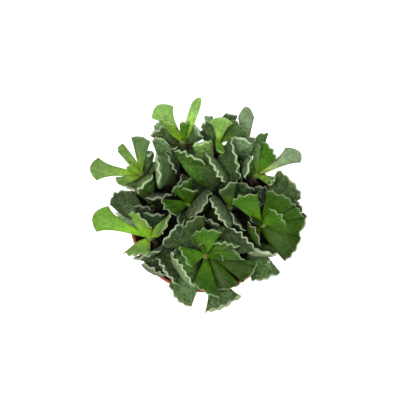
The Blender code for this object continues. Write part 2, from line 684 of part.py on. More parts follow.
def soil_height(x, y):
    """Gentle lumps on the soil's top, in millimetres above the ground."""
    lumps = math.sin(0.31 * x + 0.7) * math.cos(0.27 * y - 0.4) + 0.6 * math.sin(0.53 * (x - y))
    return POT_HEIGHT + SOIL_TOP + SOIL_BUMP * lumps


def build_soil(material):
    """Soil that fills the pot, lumpy on top, with a blind hole for each stem."""
    bm = bmesh.new()
    turns = np.linspace(0, 2 * math.pi, SOIL_SIDES, endpoint=False)
    top = POT_HEIGHT + SOIL_TOP
    floor = POT_FLOOR + SOIL_GAP
    base = [bm.verts.new((soil_radius(floor) * MM * math.cos(t),
                          soil_radius(floor) * MM * math.sin(t), floor * MM)) for t in turns]
    rings = [base]
    for ring in range(SOIL_RINGS):
        radius = (soil_radius(top) - 0.5) * (1 - ring / SOIL_RINGS)
        places = [(radius * math.cos(t), radius * math.sin(t)) for t in turns]
        rings.append([bm.verts.new((x * MM, y * MM, soil_height(x, y) * MM)) for x, y in places])
    for lower, upper in zip(rings, rings[1:]):
        for k in range(SOIL_SIDES):
            after = (k + 1) % SOIL_SIDES
            bm.faces.new((lower[k], lower[after], upper[after], upper[k]))
    bm.faces.new(base)
    centre = bm.verts.new((0, 0, soil_height(0, 0) * MM))
    for k in range(SOIL_SIDES):
        bm.faces.new((rings[-1][k], rings[-1][(k + 1) % SOIL_SIDES], centre))
    soil = add_object("soil", bm, material)
    feet = [stem_point(shoot, 0.0)[:2] for shoot in SHOOTS.values()]
    drill(soil, feet, STEM_RADIUS + STEM_HOLE_GAP, top - STEM_DEPTH, top + 5.0, STEM_SIDES)


def main():
    clear_scene()
    build_pot(plain_material("pot_plastic", COLOURS["pot"], 0.45))
    build_soil(plain_material("potting_soil", COLOURS["soil"], 0.95))
    leaf_material = plain_material("leaf", COLOURS["shoot"], 0.6)
    grown = all_leaves()
    for name, shoot in SHOOTS.items():
        build_shoot(name, shoot, grown[name], leaf_material)


main()
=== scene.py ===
"""Looks of the potted crinkle-leaf succulent: fine leaves, stems, soil, pot, light and camera.

Plan positions are millimetres, +X right and +Y away from the viewer; those of the shoots are
from PLANT_MIDDLE. Heights in the shoots are above the pot's rim. The model stands on Z = 0.
"""
import math
import random

import bmesh
import bpy
import numpy as np
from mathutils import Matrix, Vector, noise

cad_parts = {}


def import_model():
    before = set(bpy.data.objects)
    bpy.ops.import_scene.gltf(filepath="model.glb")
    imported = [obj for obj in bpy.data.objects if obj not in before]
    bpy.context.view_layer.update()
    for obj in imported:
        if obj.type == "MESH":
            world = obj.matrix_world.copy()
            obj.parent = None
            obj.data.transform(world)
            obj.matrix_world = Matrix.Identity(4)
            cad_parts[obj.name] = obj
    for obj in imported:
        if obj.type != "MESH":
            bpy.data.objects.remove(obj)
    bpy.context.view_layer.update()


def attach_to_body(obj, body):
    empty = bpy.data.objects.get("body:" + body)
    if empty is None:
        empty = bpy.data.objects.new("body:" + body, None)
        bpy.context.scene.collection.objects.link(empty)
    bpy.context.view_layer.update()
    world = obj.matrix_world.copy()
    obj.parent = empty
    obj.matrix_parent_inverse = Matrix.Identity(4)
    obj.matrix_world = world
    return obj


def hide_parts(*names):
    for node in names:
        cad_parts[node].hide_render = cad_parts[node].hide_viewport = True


MM = 0.001

# Pot
POT_HEIGHT = 92.0
RIM_RADIUS = 50.0
FOOT_RADIUS = 36.5
POT_WALL = 1.3
POT_FLOOR = 2.0
RIM_BAND_HEIGHT = 9.0
RIM_LIP = 2.2
WALL_START = 6.0
WALL_RINGS = 12
INSIDE_STEP = (0.8, -0.5)
POT_SIDES = 160
SHARP_ANGLE = 35.0
DRAIN_RADIUS = 4.0
DRAIN_CIRCLE = 23.0
DRAIN_COUNT = 5
DRAIN_SIDES = 32
DRAIN_OVERCUT = 2.0

# Rounded corners of the pot's section, as steps outwards and up from the corner
FOOT_EDGE = ((-1.5, 0.0), (-0.6, 0.2), (-0.15, 0.7), (0.0, 1.5))
BAND_EDGE = ((1.1, 0.05), (1.35, 0.2), (1.45, 0.6))
RIM_EDGE = ((0.0, -1.6), (-0.08, -0.95), (-0.4, -0.35), (-0.8, -0.08), (-1.1, 0.0), (-1.45, -0.12))
LIP_EDGE = ((0.4, -0.5), (0.1, -1.0), (-0.1, -1.8))

# Soil
SOIL_TOP = -9.0
SOIL_GAP = 0.3
SOIL_BUMP = 0.8
LUMP_RATES = (0.31, 0.27, 0.53)
LUMP_TURNS = (0.7, -0.4)
SLANT_LUMPS = 0.6

# Stems; a stem leans most in its lower half, and its leaves sit in its upper part
STEM_RADIUS = 2.7
STEM_DEPTH = 9.0
STEM_LEAN = 0.65
LEAF_STEP = 1.3
ROOT_DROP = 1.0
LOWEST_ROOT = 0.75
CROWN_TOP = 1.0

# Leaves; shares are of the way from root to edge
RIM_THICKNESS = 0.9
CRINKLE_PITCH = 2.5
NECK = 0.14
WIDEST_NECK = 0.8
NECK_FLATNESS = 0.9
THICKEST = 0.66
CRINKLE_START = 0.86
LIP_POWER = 6
ROUNDNESS = 2.4
FEWEST_COLUMNS = 4
UPPER, MIDDLE, LOWER = 1, 0, -1

# Where the plant's middle lies from the pot's axis; leaf positions hold for READ_HEIGHT above
# the rim, seen from EYE_HEIGHT above that
PLANT_MIDDLE = (1.4, 3.2)
READ_HEIGHT = 35.0
EYE_HEIGHT = 1065.0

# How far leaves keep clear of each other, and the small steps they move by to do so; leaves of
# one shoot may touch below CROWDED, where they count as APART
CLEARANCE = 0.55
BALLS_ACROSS = 7
BALLS_ALONG = 7
FIRST_BALL = 0.3
LEAST_BALL = 1.0
STEM_BALLS = 10
OPEN_STEPS = 140
LONGEST_STEP = 2.0
SIDEWAYS_SHARE = 0.45
PULL_BACK = 0.985
CROWDED = 0.75
NEIGHBOUR_REACH = 38.0
PAIR_BLOCKS = 12
SOIL_CLEARANCE = 1.5
RIM_CLEARANCE = 0.5
RIM_INSIDE = 7.0
RIM_OUTSIDE = 5.0
LOWEST_OUTSIDE = -60.0
APART = -1.0
UPWARD_BIAS = 1e-4
SHORTEST = 1e-9

# Fine surfaces; steps are per half wave of a leaf's edge, and close together past INNER_REACH
STEPS_PER_COLUMN = 4
FEWEST_STEPS = 24
FINE_ROWS = (0.0, 0.08, 0.16, 0.24, 0.32, 0.4, 0.48, 0.56, 0.63, 0.7, 0.76, 0.81, 0.85, 0.88,
             0.905, 0.93, 0.95, 0.97, 0.985, 1.0)
INNER_REACH = 0.94
SIDE_STEPS = (0.97, 0.99, 1.0)
LIP_ROUND = 0.35

# How a fine leaf is uneven: its waves drift, swell, ride on a slow wave, reach forward as scallops
# and run down the blade as flutes, and the blade is warped
TURN_PER_LEAF = 1.7
WAVE_DRIFT = 1.3
DRIFT_RATE = 2.3
WAVE_SWELL = 0.3
SWELL_RATE = 3.7
WAVE_EASE = 0.3
FEWER_WAVES = 0.15
SLOW_WAVE = 0.5
SLOW_TURN = 0.43
SCALLOP = 0.25
FLUTE = 0.28
FLUTE_START = 0.35
WARP = 0.42
WARP_ALONG = 4.0
WARP_ACROSS = 2.0

# Photo frame: pixels across, millimetres per pixel at the rim, and the camera above the rim
PIXELS = 416
MM_PER_PIXEL = 0.6646
CAMERA_RISE = 1100.0
CAMERA_PLACE = (2.43, 6.26)
SENSOR_WIDTH = 36.0

# Leaf tones as seen in the photo: red, green and blue of 255
# The tones are fitted to the leaves' colours under this scene's light, so they carry painted shade where
# a leaf lies in shadow between others (shade, deep) and painted light where this light leaves a leaf
# darker than it shows (paler tones such as mint)
TONES = {
    "mint": (125, 158, 108), "pear": (124, 165, 79),
    "lime": (104, 144, 44), "silver": (110, 131, 95),
    "spring": (97, 130, 59), "bright": (96, 141, 44),
    "sage": (82, 111, 61), "plain": (66, 93, 46),
    "fresh": (63, 105, 22), "moss": (53, 74, 32),
    "vivid": (53, 87, 23), "grass": (46, 79, 12),
    "olive": (41, 62, 24), "bottle": (40, 65, 8),
    "shade": (22, 46, 9), "deep": (9, 22, 5),
}

# Leaves of these kinds, and leaves of any kind in these tones, have young skin
YOUNG_TONES = ("grass", "bottle")
YOUNG_KINDS = ("fan", "tongue", "bud", "mid", "wedge", "blade", "curl")

# How pale each kind's edge and underside are, as shares of RIM_COLOUR and UNDERSIDE, and the
# width in mm of the duller band inside the edge of some
RIM_STRENGTH = {"old": 0.8, "plump": 0.9, "barrel": 0.9, "oval": 0.8, "bowl": 0.9, "spade": 0.7,
                "scoop": 0.95, "curl": 0.6, "wedge": 0.55, "blade": 0.35, "mid": 0.4,
                "tongue": 0.15, "fan": 0.25, "bud": 0.3}
RIM_BAND = {"spade": 2.4, "scoop": 0.6, "bowl": 0.4}
PALE_UNDERSIDE = {"bowl": 0.2, "scoop": 0.3, "spade": 0.4, "curl": 0.0}
PLAIN_UNDERSIDE = 0.06

# The pale line fades out over RIM_FADE mm, is weaker off the lip and is dimmed as painted shade
# on leaves in the shaded tones; the band's width waves
RIM_FADE = 0.4
RIM_SIDES = 0.4
SHADED_TONES = ("shade", "deep")
SHADED_RIM = 0.6
BAND_STRENGTH = 0.55
BAND_WAVE = 0.5
BAND_TURN = 1.3
ON_LIP = 0.5

# Leaf skin: the bloom is the fine pale down on it; a petiole's colour is its leaf's, multiplied;
# the streaks of two leaves are taken STREAK_APART mm from each other in the noise
BLOOM = (150, 162, 128)
PETIOLE = (1.5, 1.45, 0.5)
UNDERSIDE = (172, 182, 150)
RIM_COLOUR = (182, 196, 156)
STREAK_APART = 40.0
# Both skins are darkened towards a leaf's root as painted shade from the leaves around it, and go from a
# little lighter in the middle of the blade (painted light) to darker at the tip (painted shade)
MATURE_SKIN = dict(name="leaf_mature", roughness=0.6, shine=0.16, speckle=0.26, mottle=0.33,
                   streak=0.06, petiole=0.1, painted_root_shade=0.3, painted_tip_shade=0.9, velvet=0.8)
YOUNG_SKIN = dict(name="leaf_young", roughness=0.5, shine=0.1, speckle=0.05, mottle=0.15,
                  streak=0.14, petiole=1.1, painted_root_shade=0.65, painted_tip_shade=0.78, velvet=0.25)
MATURE, YOUNG, BARK, HAIR = range(4)

# Facts kept at every vertex, how many numbers each has, and how Blender stores that many
FACT_WIDTHS = {"tint": 4, "blade": 3, "place": 3, "rim": 1, "reverse": 1}
FACT_LAYERS = {1: ("FLOAT", "value"), 3: ("FLOAT_VECTOR", "vector"), 4: ("FLOAT_COLOR", "color")}

# Vertices this close, in metres, are joined
WELD = 1e-7

# Noise patterns, as cycles a metre and detail; the streaks are in cycles a millimetre
PATTERNS = {
    "leaf grain": (1400, 4), "patches": (480, 3), "broad": (160, 3), "streaks": (1, 2),
    "crown patches": (260, 3), "bark grain": (1500, 4), "hairs": (300, 3), "soil grain": (1300, 5),
    "soil broad": (210, 3), "pores": (1600, 4), "pot flow": (90, 3), "pot grain": (2600, 2),
    "scuffs": (240, 5), "floor": (4, 3),
}

# Where a look changes: between two values of its noise, or two shares of a leaf or a stem
RANGES = {
    "wide": (0.3, 0.7), "middle": (0.35, 0.65), "bloom": (0.45, 0.68), "patches": (0.36, 0.64),
    "root": (0.1, 0.6), "tip": (0.5, 1.0), "petiole": (0.15, 0.75), "underside": (0.65, 0.95),
    "crown": (0.6, 0.9), "crown patches": (0.53, 0.68), "soil grain": (0.25, 0.75),
    "fibres": (0.7, 0.78), "pores": (0.35, 0.55), "scuffs": (0.6, 0.74), "pot gloss": (0.35, 0.75),
}

# How far patterns are stretched, how light and dark they make a colour, and bump depths in mm
BUMPS = {"leaf": 0.5, "bark": 0.4, "soil": 1.2, "perlite": 0.4, "pot": 0.12}
STREAK_STRETCH = (1.3, 0.12, 1.0)
FLOW_STRETCH = (1.0, 1.0, 0.15)
SCUFF_STRETCH = (1.0, 1.0, 4.0)
# Painted light: the middle of a leaf's blade is made this much lighter
PAINTED_MID_LIGHT = 1.05
BARK_SHADES = (0.7, 1.2)
SOIL_SHADES = (0.5, 1.5)
SCUFF_STRENGTH = 0.45
SCUFF_DEPTH = 0.6
POT_ROUGHNESS = (0.38, 0.62)

# Colours of the rest; a colour is red, green and blue of 255
BARK_COLOUR = (44, 31, 21)
CROWN_COLOURS = ((86, 108, 36), (108, 74, 36))
HAIR_COLOURS = ((70, 42, 26), (126, 100, 74))
# The soil colours are the mix's own dark brown, darkened to near black as painted shade for the gaps
# between leaves
SOIL_AND_GAP_SHADE_COLOURS = ((8, 7, 6), (18, 14, 11))
FIBRE_COLOUR = (74, 58, 42)
PERLITE_COLOURS = ((110, 100, 86), (196, 190, 178))
POT_COLOURS = ((150, 68, 44), (167, 82, 54))
SCUFF_COLOUR = (188, 120, 92)

# Stems and their aerial roots; a stem's rings are the scars of old leaves
STEM_RINGS = 14
STEM_SIDES = 14
STEM_TAPER = ((0.0, 0.7, 1.0), (1.0, 1.0, 0.85))
STEM_RIDGE = 0.06
RIDGE_TURN = 2.1
CROWN_TIP = 0.3
TUBE_SIDE = (0.31, 0.95, 0.05)
HAIRS = 20
HAIR_RINGS = 5
HAIR_SIDES = 4
HAIR_SHARES = (0.4, 0.85)
HAIR_LENGTHS = (2.0, 5.5)
HAIR_RISES = (-0.2, 0.7)
HAIR_BENDS = (-0.5, 0.7)
HAIR_SAG = -0.8
HAIR_ROOT = 0.7
HAIR_RADIUS = 0.13
HAIR_TIP = 0.35

# Soil surface and what lies on it
SOIL_SIDES = 180
SOIL_RINGS = 44
SOIL_INSET = 0.5
CENTRE_RING = 0.6
CRUMB_SCALE = 0.55
CRUMB_RISE = 0.55
CRUMB_NOISE = (0.7, 2.1, 5)
CRUMBS = 420
CRUMB_SIZES = (0.8, 2.4)
PERLITE_SIZES = (0.4, 1.6)
PERLITE_SEEN = (10.4, -31.6)
PERLITE_MORE = 30
GRAIN_INSET = 2.0
GRAIN_UNEVEN = 0.25
GRAIN_WAVE = ((2.3,), (1.7,), (2.9,))
GRAIN_STARTS = (0, 6)
GRAIN_STRETCH = ((0.7, 1.3), (0.7, 1.3), (0.6, 0.9))
GRAIN_RISE = 0.15
GRAIN_DETAIL = (1, 2)
CRUMB, PERLITE = range(2)
SEED = 7

# Floor and light; lengths in metres, powers in watts
FLOOR_HALF = 3.0
FLOOR_DROP = 0.0002
FLOOR_GLOW = 0.6
FLOOR_COLOURS = ((0.90, 0.90, 0.89, 1.0), (0.93, 0.93, 0.92, 1.0))
WHITE = (1.0, 1.0, 1.0, 1.0)
AMBIENT = 0.13
LIGHTS = (
    ("key", (-0.3, 0.15, 1.35), 0.7, 21.0),
    ("fill", (0.45, -0.6, 1.1), 1.0, 11.0),
)

# A kind of leaf: thickness and neck width, how fast it widens (1 straight, less rounder), how
# much wider its middle is, the share of its width that opens late as a lip, the bulge of its
# edge and the crinkle there, the arch of its middle, how far its end hooks back up, and the
# cup across it; what a kind leaves out is as in PLAIN_KIND
PLAIN_KIND = dict(thick=5.0, neck=4.6, belly=0.0, lip=0.0, crinkle=0.9, arch=0.0, hook=0.0,
                  cup=0.0)
KINDS = {
    "old": dict(swell=0.45, bulge=0.16, arch=-0.12, hook=0.1),
    "plump": dict(thick=6.4, neck=5.0, swell=0.5, belly=0.26, bulge=0.16, arch=-0.16, hook=0.25),
    "barrel": dict(thick=6.4, neck=5.0, swell=0.5, belly=0.3, bulge=0.1, arch=-0.05, hook=0.1),
    "oval": dict(thick=4.0, neck=3.4, swell=0.45, belly=0.06, bulge=0.4, crinkle=0.7, arch=-0.04),
    "bowl": dict(swell=0.5, bulge=0.08, crinkle=1.0, arch=-0.15, hook=0.55),
    "spade": dict(swell=1.3, bulge=0.12, arch=-0.06, hook=0.3),
    "scoop": dict(swell=0.4, bulge=0.05, crinkle=1.0, arch=-0.3, hook=0.3),
    "curl": dict(thick=3.4, neck=3.0, swell=0.7, bulge=0.12, crinkle=1.0, arch=-0.15, hook=0.4, cup=0.03),
    "wedge": dict(thick=3.8, neck=2.6, swell=1.0, bulge=0.14, arch=-0.05, cup=0.03),
    "blade": dict(thick=3.2, neck=2.6, swell=1.0, lip=0.1, bulge=0.2, crinkle=0.25, cup=0.03),
    "mid": dict(thick=3.6, neck=3.0, swell=0.8, lip=0.1, bulge=0.14, crinkle=1.1, arch=-0.03, cup=0.04),
    "tongue": dict(thick=3.4, neck=3.0, swell=0.4, bulge=0.55, crinkle=0.4, arch=-0.03, cup=0.05),
    "fan": dict(thick=2.9, neck=2.7, swell=1.0, lip=0.5, bulge=0.35, crinkle=0.15, arch=0.07, cup=-0.04),
    "bud": dict(thick=2.4, neck=2.2, swell=0.8, lip=0.1, bulge=0.22, crinkle=0.5, cup=0.05),
}

# Each shoot: where its stem leaves the soil, its crown, and its leaves from the youngest down.
# Each leaf: tone and kind, the two ends of its crinkled edge in plan, the edge's height, how
# much higher the second end is than the first, and its own bulge where the kind's doesn't fit.
SHOOTS = {
    "shoot_bottom": dict(foot=(-1, -22), crown=(-0.5, -28, 27), leaves=[
        ("grass bud", (9.5, -26.8), (10.5, -31), 37),
        ("grass bud", (-5, -20.5), (-1.5, -20), 37),
        ("fresh mid", (-9.5, -13.5), (10.5, -12), 38),
        ("vivid mid", (15.5, -23.8), (24.8, -30.5), 33),
        ("fresh mid", (-9.5, -35.5), (-17, -21.5), 33),
        ("plain curl", (4.5, -18.5), (22, -21.5), 36, -3),
        ("moss mid", (-16.5, -12), (-1.5, -0.8), 39),
        ("grass wedge", (8, -54), (-8.5, -45), 25),
        ("olive old", (-28.5, -18.5), (-12.5, -3.5), 31),
        ("olive old", (14, -7.5), (32, -23.5), 32),
        ("bottle wedge", (32, -31.5), (23.5, -44.8), 20),
        ("bottle wedge", (21.5, -45.5), (7.5, -49), 14),
        ("vivid bowl", (-8.5, -48.5), (-23, -25.5), 22),
        ("deep mid", (-3, -47), (-9, -43), 14),
        ("shade old", (-19.5, -34), (-20, -20), 14),
        ("moss spade", (22.6, -53.5), (-1.5, -63.8), 9),
        ("plain old", (-10, -61), (-24, -46.5), 9),
    ]),
    "shoot_right": dict(foot=(29, -4), crown=(37.2, -7.8, 18), leaves=[
        ("shade bud", (28.5, -7.5), (27.5, -3), 30),
        ("fresh mid", (41, 4), (51, -8), 33),
        ("fresh mid", (16, 6.5), (33.3, 12.8), 36),
        ("bottle curl", (35.8, -20.5), (27.2, -5), 32),
        ("grass mid", (38.5, 16), (57, 6), 27),
        ("grass mid", (48.5, 8), (62, -4), 23),
        ("grass old", (63, 0), (60, -15), 16),
        ("bottle old", (60, -15.5), (49.5, -31), 11),
        ("deep old", (31, 17), (39.5, 14.5), 14),
        ("olive old", (57, 8), (61.5, 0), 9),
        ("moss old", (45.5, 27), (61.5, 10), 14),
    ]),
    "shoot_right_upper": dict(foot=(26, 20), crown=(32.5, 25, 18), leaves=[
        ("sage curl", (45, 23), (39.5, 17.5), 25),
        ("grass bud", (27.8, 27), (30.2, 31), 24),
        ("sage tongue", (30.8, 43), (35.2, 42), 34, 3),
        ("fresh mid", (37, 46.5), (44.5, 34), 32),
        ("silver fan", (50.5, 41.8), (60.3, 32), 26),
        ("plain old", (25.5, 21.5), (27.4, 37.5), 36),
        ("plain mid", (30.5, 49), (38.6, 51.3), 19),
    ]),
    "shoot_top_right": dict(foot=(22, 29), crown=(25, 34, 6), leaves=[
        ("mint oval", (18, 46.8), (32, 44), 27),
        ("silver blade", (20.3, 61.5), (30.8, 61), 17, 0, 0.7),
        ("silver old", (28.5, 49), (34, 43), 6),
    ]),
    "shoot_top_centre": dict(foot=(6, 36), crown=(8, 47, 20), leaves=[
        ("bright tongue", (9.6, 38.8), (3.8, 39.5), 35),
        ("pear fan", (1.5, 57.5), (17, 57), 34),
        ("plain mid", (16, 60), (26, 50), 24),
        ("moss old", (-4, 55.5), (2.5, 58.5), 20),
        ("olive old", (10.5, 62.5), (20, 61.5), 14),
        ("silver old", (-1.5, 61), (4, 62), 12),
        ("shade old", (-5.5, 50.5), (2, 55), 8),
        ("shade old", (4, 54.5), (13, 54.5), 8),
    ]),
    "shoot_top": dict(foot=(-12, 36), crown=(-15.5, 47, 19), leaves=[
        ("fresh mid", (-17.5, 56.5), (-11, 58.5), 31),
        ("lime mid", (-30.5, 61), (-19.5, 55), 33),
        ("pear tongue", (-9.2, 70.8), (-3, 70.2), 29, 4),
        ("pear fan", (-35, 60.5), (-21, 68.2), 24),
        ("plain old", (-9, 56), (-2, 47.5), 22),
        ("moss old", (-36.5, 48.5), (-25, 53), 22),
        ("mint old", (-34, 54), (-29.5, 58), 16),
        ("shade old", (0, 36), (-14, 28), 9),
        ("bright old", (-29.5, 40.5), (-21, 54), 7),
        ("shade old", (-13, 55), (-5, 53.5), 7),
    ]),
    "shoot_left_upper": dict(foot=(-34.5, 20), crown=(-43.5, 26, 16), leaves=[
        ("lime bud", (-51.5, 27.5), (-47, 31.5), 25),
        ("sage blade", (-48.5, 48), (-36, 45.8), 29),
        ("spring tongue", (-57, 39.5), (-53, 44), 27, 3, 0.3),
        ("spring fan", (-70.3, 20.5), (-69.3, 35.5), 20, 0, 0.33),
        ("spring mid", (-54, 17.5), (-57.5, 23), 17, 4, 0.3),
        ("sage plump", (-43.5, 36), (-33.8, 38.5), 19, 0, 0.35),
        ("moss old", (-46, 13.5), (-55, 19), 11),
        ("sage old", (-37.5, 35), (-32.8, 28), 5),
    ]),
    "shoot_left_lower": dict(foot=(-31, -14), crown=(-37.5, -16.5, 18), leaves=[
        ("lime mid", (-49.5, 0.5), (-34.5, -9), 32),
        ("spring mid", (-23.7, -1), (-28, -14), 31),
        ("spring mid", (-35.8, -26.3), (-53.8, -25.8), 24),
        ("bright fan", (-70.5, -12.5), (-63, 4.3), 22),
        ("silver old", (-54.5, -4.5), (-58.5, 0.8), 18, 3),
        ("shade old", (-41, -1), (-26.5, -2), 20),
        ("deep old", (-47, 4.5), (-35.5, 1.5), 14),
        ("olive old", (-61.5, 6), (-46, 14.5), 10, 0, 0.3),
    ]),
    "shoot_left": dict(foot=(-33, 4), crown=(-36.5, 6, 5), leaves=[
        ("vivid plump", (-46, 13), (-36.3, 25.5), 22),
        ("deep old", (-39.5, 8.5), (-21.5, 12), 20),
    ]),
    "shoot_middle_left": dict(foot=(-10, 5), crown=(-11, 6, 19), leaves=[
        ("grass mid", (-15.5, 14), (-4.5, 13.8), 31),
        ("grass mid", (-22.5, 13.5), (-9, 21.5), 29),
        ("grass mid", (-20, -3), (-29, 9), 28),
    ]),
    "shoot_inner_left": dict(foot=(-18, 19), crown=(-21, 20.5, 6), leaves=[
        ("sage barrel", (-30.1, 17.5), (-32, 38.5), 34),
        ("deep old", (-18.3, 22.5), (-23.5, 37.4), 21),
        ("sage oval", (-35.5, 44.5), (-24, 41.5), 22),
        ("moss old", (-24, 40.5), (-15.5, 45), 8),
    ]),
    "shoot_inner_top": dict(foot=(4, 12), crown=(4, 13.5, 7), leaves=[
        ("plain plump", (0.5, 38.5), (11.5, 18.5), 36),
        ("fresh old", (-20.5, 40.5), (0.5, 32), 38),
        ("plain old", (14, 47.8), (21.3, 21), 36),
        ("pear old", (-9, 43.8), (4, 45.8), 27, 0, 0.3),
        ("shade old", (-15.7, 7), (-14.3, 23), 12),
        ("shade old", (20.5, 25), (23.3, 9), 8),
    ]),
    "shoot_middle": dict(foot=(1, -3), crown=(1, -2, 10), leaves=[
        ("olive plump", (2.3, 10.5), (14, -8.8), 37),
        ("shade plump", (-12.6, -3.2), (0.6, 15.6), 34),
        ("deep old", (16.5, 2), (26.8, -11), 31),
        ("deep old", (8, -9.5), (-1, -2.7), 27),
        ("deep old", (2.7, -20.7), (-12.3, -15.3), 14),
        ("olive old", (-15.3, -13), (-18.1, 2.8), 12),
        ("mint old", (18.5, -7.6), (9.5, -18.4), 15),
    ]),
    "shoot_middle_right": dict(foot=(14, 4), crown=(15, 3.5, 16), leaves=[
        ("plain mid", (7.5, 12), (19, 22), 33),
        ("shade old", (20, 19.5), (31, 14.5), 20),
        ("deep old", (33, 8.5), (35, 3.5), 18),
    ]),
    "shoot_lower_right": dict(foot=(26, -18), crown=(28, -19.5, 4), leaves=[
        ("olive scoop", (45.4, -26), (25.4, -24.6), 18),
        ("plain old", (47.5, -38.3), (29, -43.3), 11),
        ("plain old", (41.5, -30.5), (37.5, -33.5), 8),
    ]),
    "shoot_lower_left": dict(foot=(-19, -23), crown=(-20, -24, 4), leaves=[
        ("olive old", (-46.5, -31.3), (-28, -25.5), 14),
        ("olive old", (-20.5, -45.8), (-32.5, -27), 16),
        ("deep bowl", (-26, -40.5), (-42, -32.5), 10),
        ("mint old", (-28, -21), (-21, -18.5), 15),
    ]),
}


def unit(vector):
    return vector / np.maximum(np.linalg.norm(vector, axis=-1, keepdims=True), SHORTEST)


def stem_point(shoot, share):
    """Centre of the stem, from its foot in the soil (0) to its crown (1)."""
    foot = np.array([*shoot["foot"], SOIL_TOP]) + [*PLANT_MIDDLE, 0]
    crown = np.array(shoot["crown"]) + [*PLANT_MIDDLE, 0]
    middle = (foot + crown) / 2
    middle[:2] = foot[:2] + (crown - foot)[:2] * STEM_LEAN
    return curve(foot, middle, crown, share)


def curve(start, pull, end, share):
    """A point on the bend from start to end that leaves towards pull and arrives from it."""
    share = np.asarray(share, float)[..., None]
    return start * (1 - share) ** 2 + pull * 2 * share * (1 - share) + end * share ** 2


def spot(place, height):
    """A place read in plan, carried to its own height along the line of sight."""
    nearer = 1 + (READ_HEIGHT - height) / EYE_HEIGHT
    return np.array([place[0] * nearer, place[1] * nearer, height]) + [*PLANT_MIDDLE, 0]


class Leaf:
    """One leaf: a centre line from its root to its crinkled edge, and a blade about it."""

    def __init__(self, shoot, order, label, first, second, height, rise=0, bulge=None):
        self.tone, self.kind_name = label.split()
        self.kind = {**PLAIN_KIND, **KINDS[self.kind_name]}
        self.drift_turn = TURN_PER_LEAF * order + len(shoot["leaves"])
        self.bulge = self.kind["bulge"] if bulge is None else bulge
        first, second = spot(first, height - rise / 2), spot(second, height + rise / 2)
        stem_length = shoot["crown"][2] - SOIL_TOP
        drop = min(ROOT_DROP + LEAF_STEP * order, LOWEST_ROOT * stem_length)
        self.root = stem_point(shoot, 1 - drop / stem_length)
        self.edge = (first + second) / 2
        heading = self.edge - self.root
        right = np.array([heading[1], -heading[0], 0.0])
        if np.dot(second - first, right) < 0:
            first, second = second, first
        self.width = float(np.linalg.norm(second - first))
        self.side_tip = (second - first) / self.width
        self.side_root = unit(right)
        self.length = float(np.linalg.norm(heading))
        lift = unit(np.cross(self.side_root, heading)) * self.length
        self.bend = ((self.root + self.edge) / 2 + heading * self.kind["hook"]
                     + lift * self.kind["arch"] * 2)
        self.columns = max(FEWEST_COLUMNS, 2 * round(self.width / CRINKLE_PITCH / 2))

    def move(self, shift):
        """Carry the edge along by shift; the blade follows in proportion."""
        self.edge = self.edge + shift
        self.bend = self.bend + shift / 2

    def frame(self, v):
        """Centre, side, normal and forward directions at v, 0 at the root and 1 at the edge."""
        centre = curve(self.root, self.bend, self.edge, v)
        v = np.asarray(v, float)[..., None]
        forward = unit((self.bend - self.root) * (1 - v) + (self.edge - self.bend) * v)
        ease = v * v * (3 - 2 * v)
        side = unit(self.side_root * (1 - ease) + self.side_tip * ease)
        normal = unit(np.cross(side, forward))
        return centre, side, normal, forward

    def spread(self, v):
        """How far the blade has opened from its neck, 0 to 1."""
        return np.clip((v - NECK) / (1 - NECK), 0, 1)

    def blade_width(self, v):
        neck = min(self.kind["neck"], self.width * WIDEST_NECK)
        lip, share, swell = self.kind["lip"], self.spread(v), self.kind["swell"]
        opened = (1 - lip) * share ** swell + lip * share ** LIP_POWER
        opened = opened + self.kind["belly"] * np.sin(math.pi * share)
        return neck + (self.width - neck) * opened

    def half_thickness(self, u, v):
        """Round at the neck, plumpest at THICKEST, thin at the crinkled edge."""
        neck, thick = self.kind["neck"] * NECK_FLATNESS, self.kind["thick"]
        rising = neck + (thick - neck) * np.clip(v / THICKEST, 0, 1)
        fall = np.clip((v - THICKEST) / (1 - THICKEST), 0, 1)
        middle = RIM_THICKNESS + (rising - RIM_THICKNESS) * np.sqrt(1 - fall ** 2)
        return 0.5 * middle * np.sqrt(np.clip(1 - np.abs(u) ** ROUNDNESS, 0, 1))

    def waves(self, u, v, drift):
        """Lift and reach of the crinkled edge; drift makes its waves uneven and fluted."""
        turn = math.pi * self.columns * (1 - drift * FEWER_WAVES) * (u + 1) / 2
        turn = turn + drift * WAVE_DRIFT * np.sin(DRIFT_RATE * u + self.drift_turn)
        swell = WAVE_SWELL * np.sin(SWELL_RATE * u + 2 * self.drift_turn)
        size = 1 + drift * (swell - WAVE_EASE)
        ramp = np.clip((v - CRINKLE_START) / (1 - CRINKLE_START), 0, 1)
        flute = drift * FLUTE * np.clip((v - FLUTE_START) / (1 - FLUTE_START), 0, 1) ** 2
        rise = (ramp ** (1 + drift) + flute) * size * self.kind["crinkle"]
        slow = drift * SLOW_WAVE * np.sin(SLOW_TURN * turn + self.drift_turn)
        return (np.cos(turn) + slow) * rise, drift * SCALLOP * np.sin(turn) * rise

    def point(self, u, v, face, drift=0):
        """Points of the blade: u across (-1 to 1), v along, face UPPER, MIDDLE or LOWER."""
        u, v = np.broadcast_arrays(np.asarray(u, float), np.asarray(v, float))
        centre, side, normal, forward = self.frame(v)
        width, open_share = self.blade_width(v), self.spread(v)
        crinkle, scallop = self.waves(u, v, drift)
        warp = WARP * np.sin(WARP_ALONG * v + WARP_ACROSS * u + self.drift_turn) * open_share
        lift = (self.kind["cup"] * width * u ** 2 + crinkle + drift * warp
                + face * self.half_thickness(u, v))
        reach = self.bulge * self.width * (1 - u ** 2) * open_share ** 2 + scallop
        return (centre + side * (u * width / 2)[..., None] + normal * lift[..., None]
                + forward * reach[..., None])


def all_leaves():
    """Every leaf, by shoot, opened out so that no blade cuts another."""
    grown = {name: [Leaf(shoot, order, *row) for order, row in enumerate(shoot["leaves"])]
             for name, shoot in SHOOTS.items()}
    open_out(grown)
    return grown


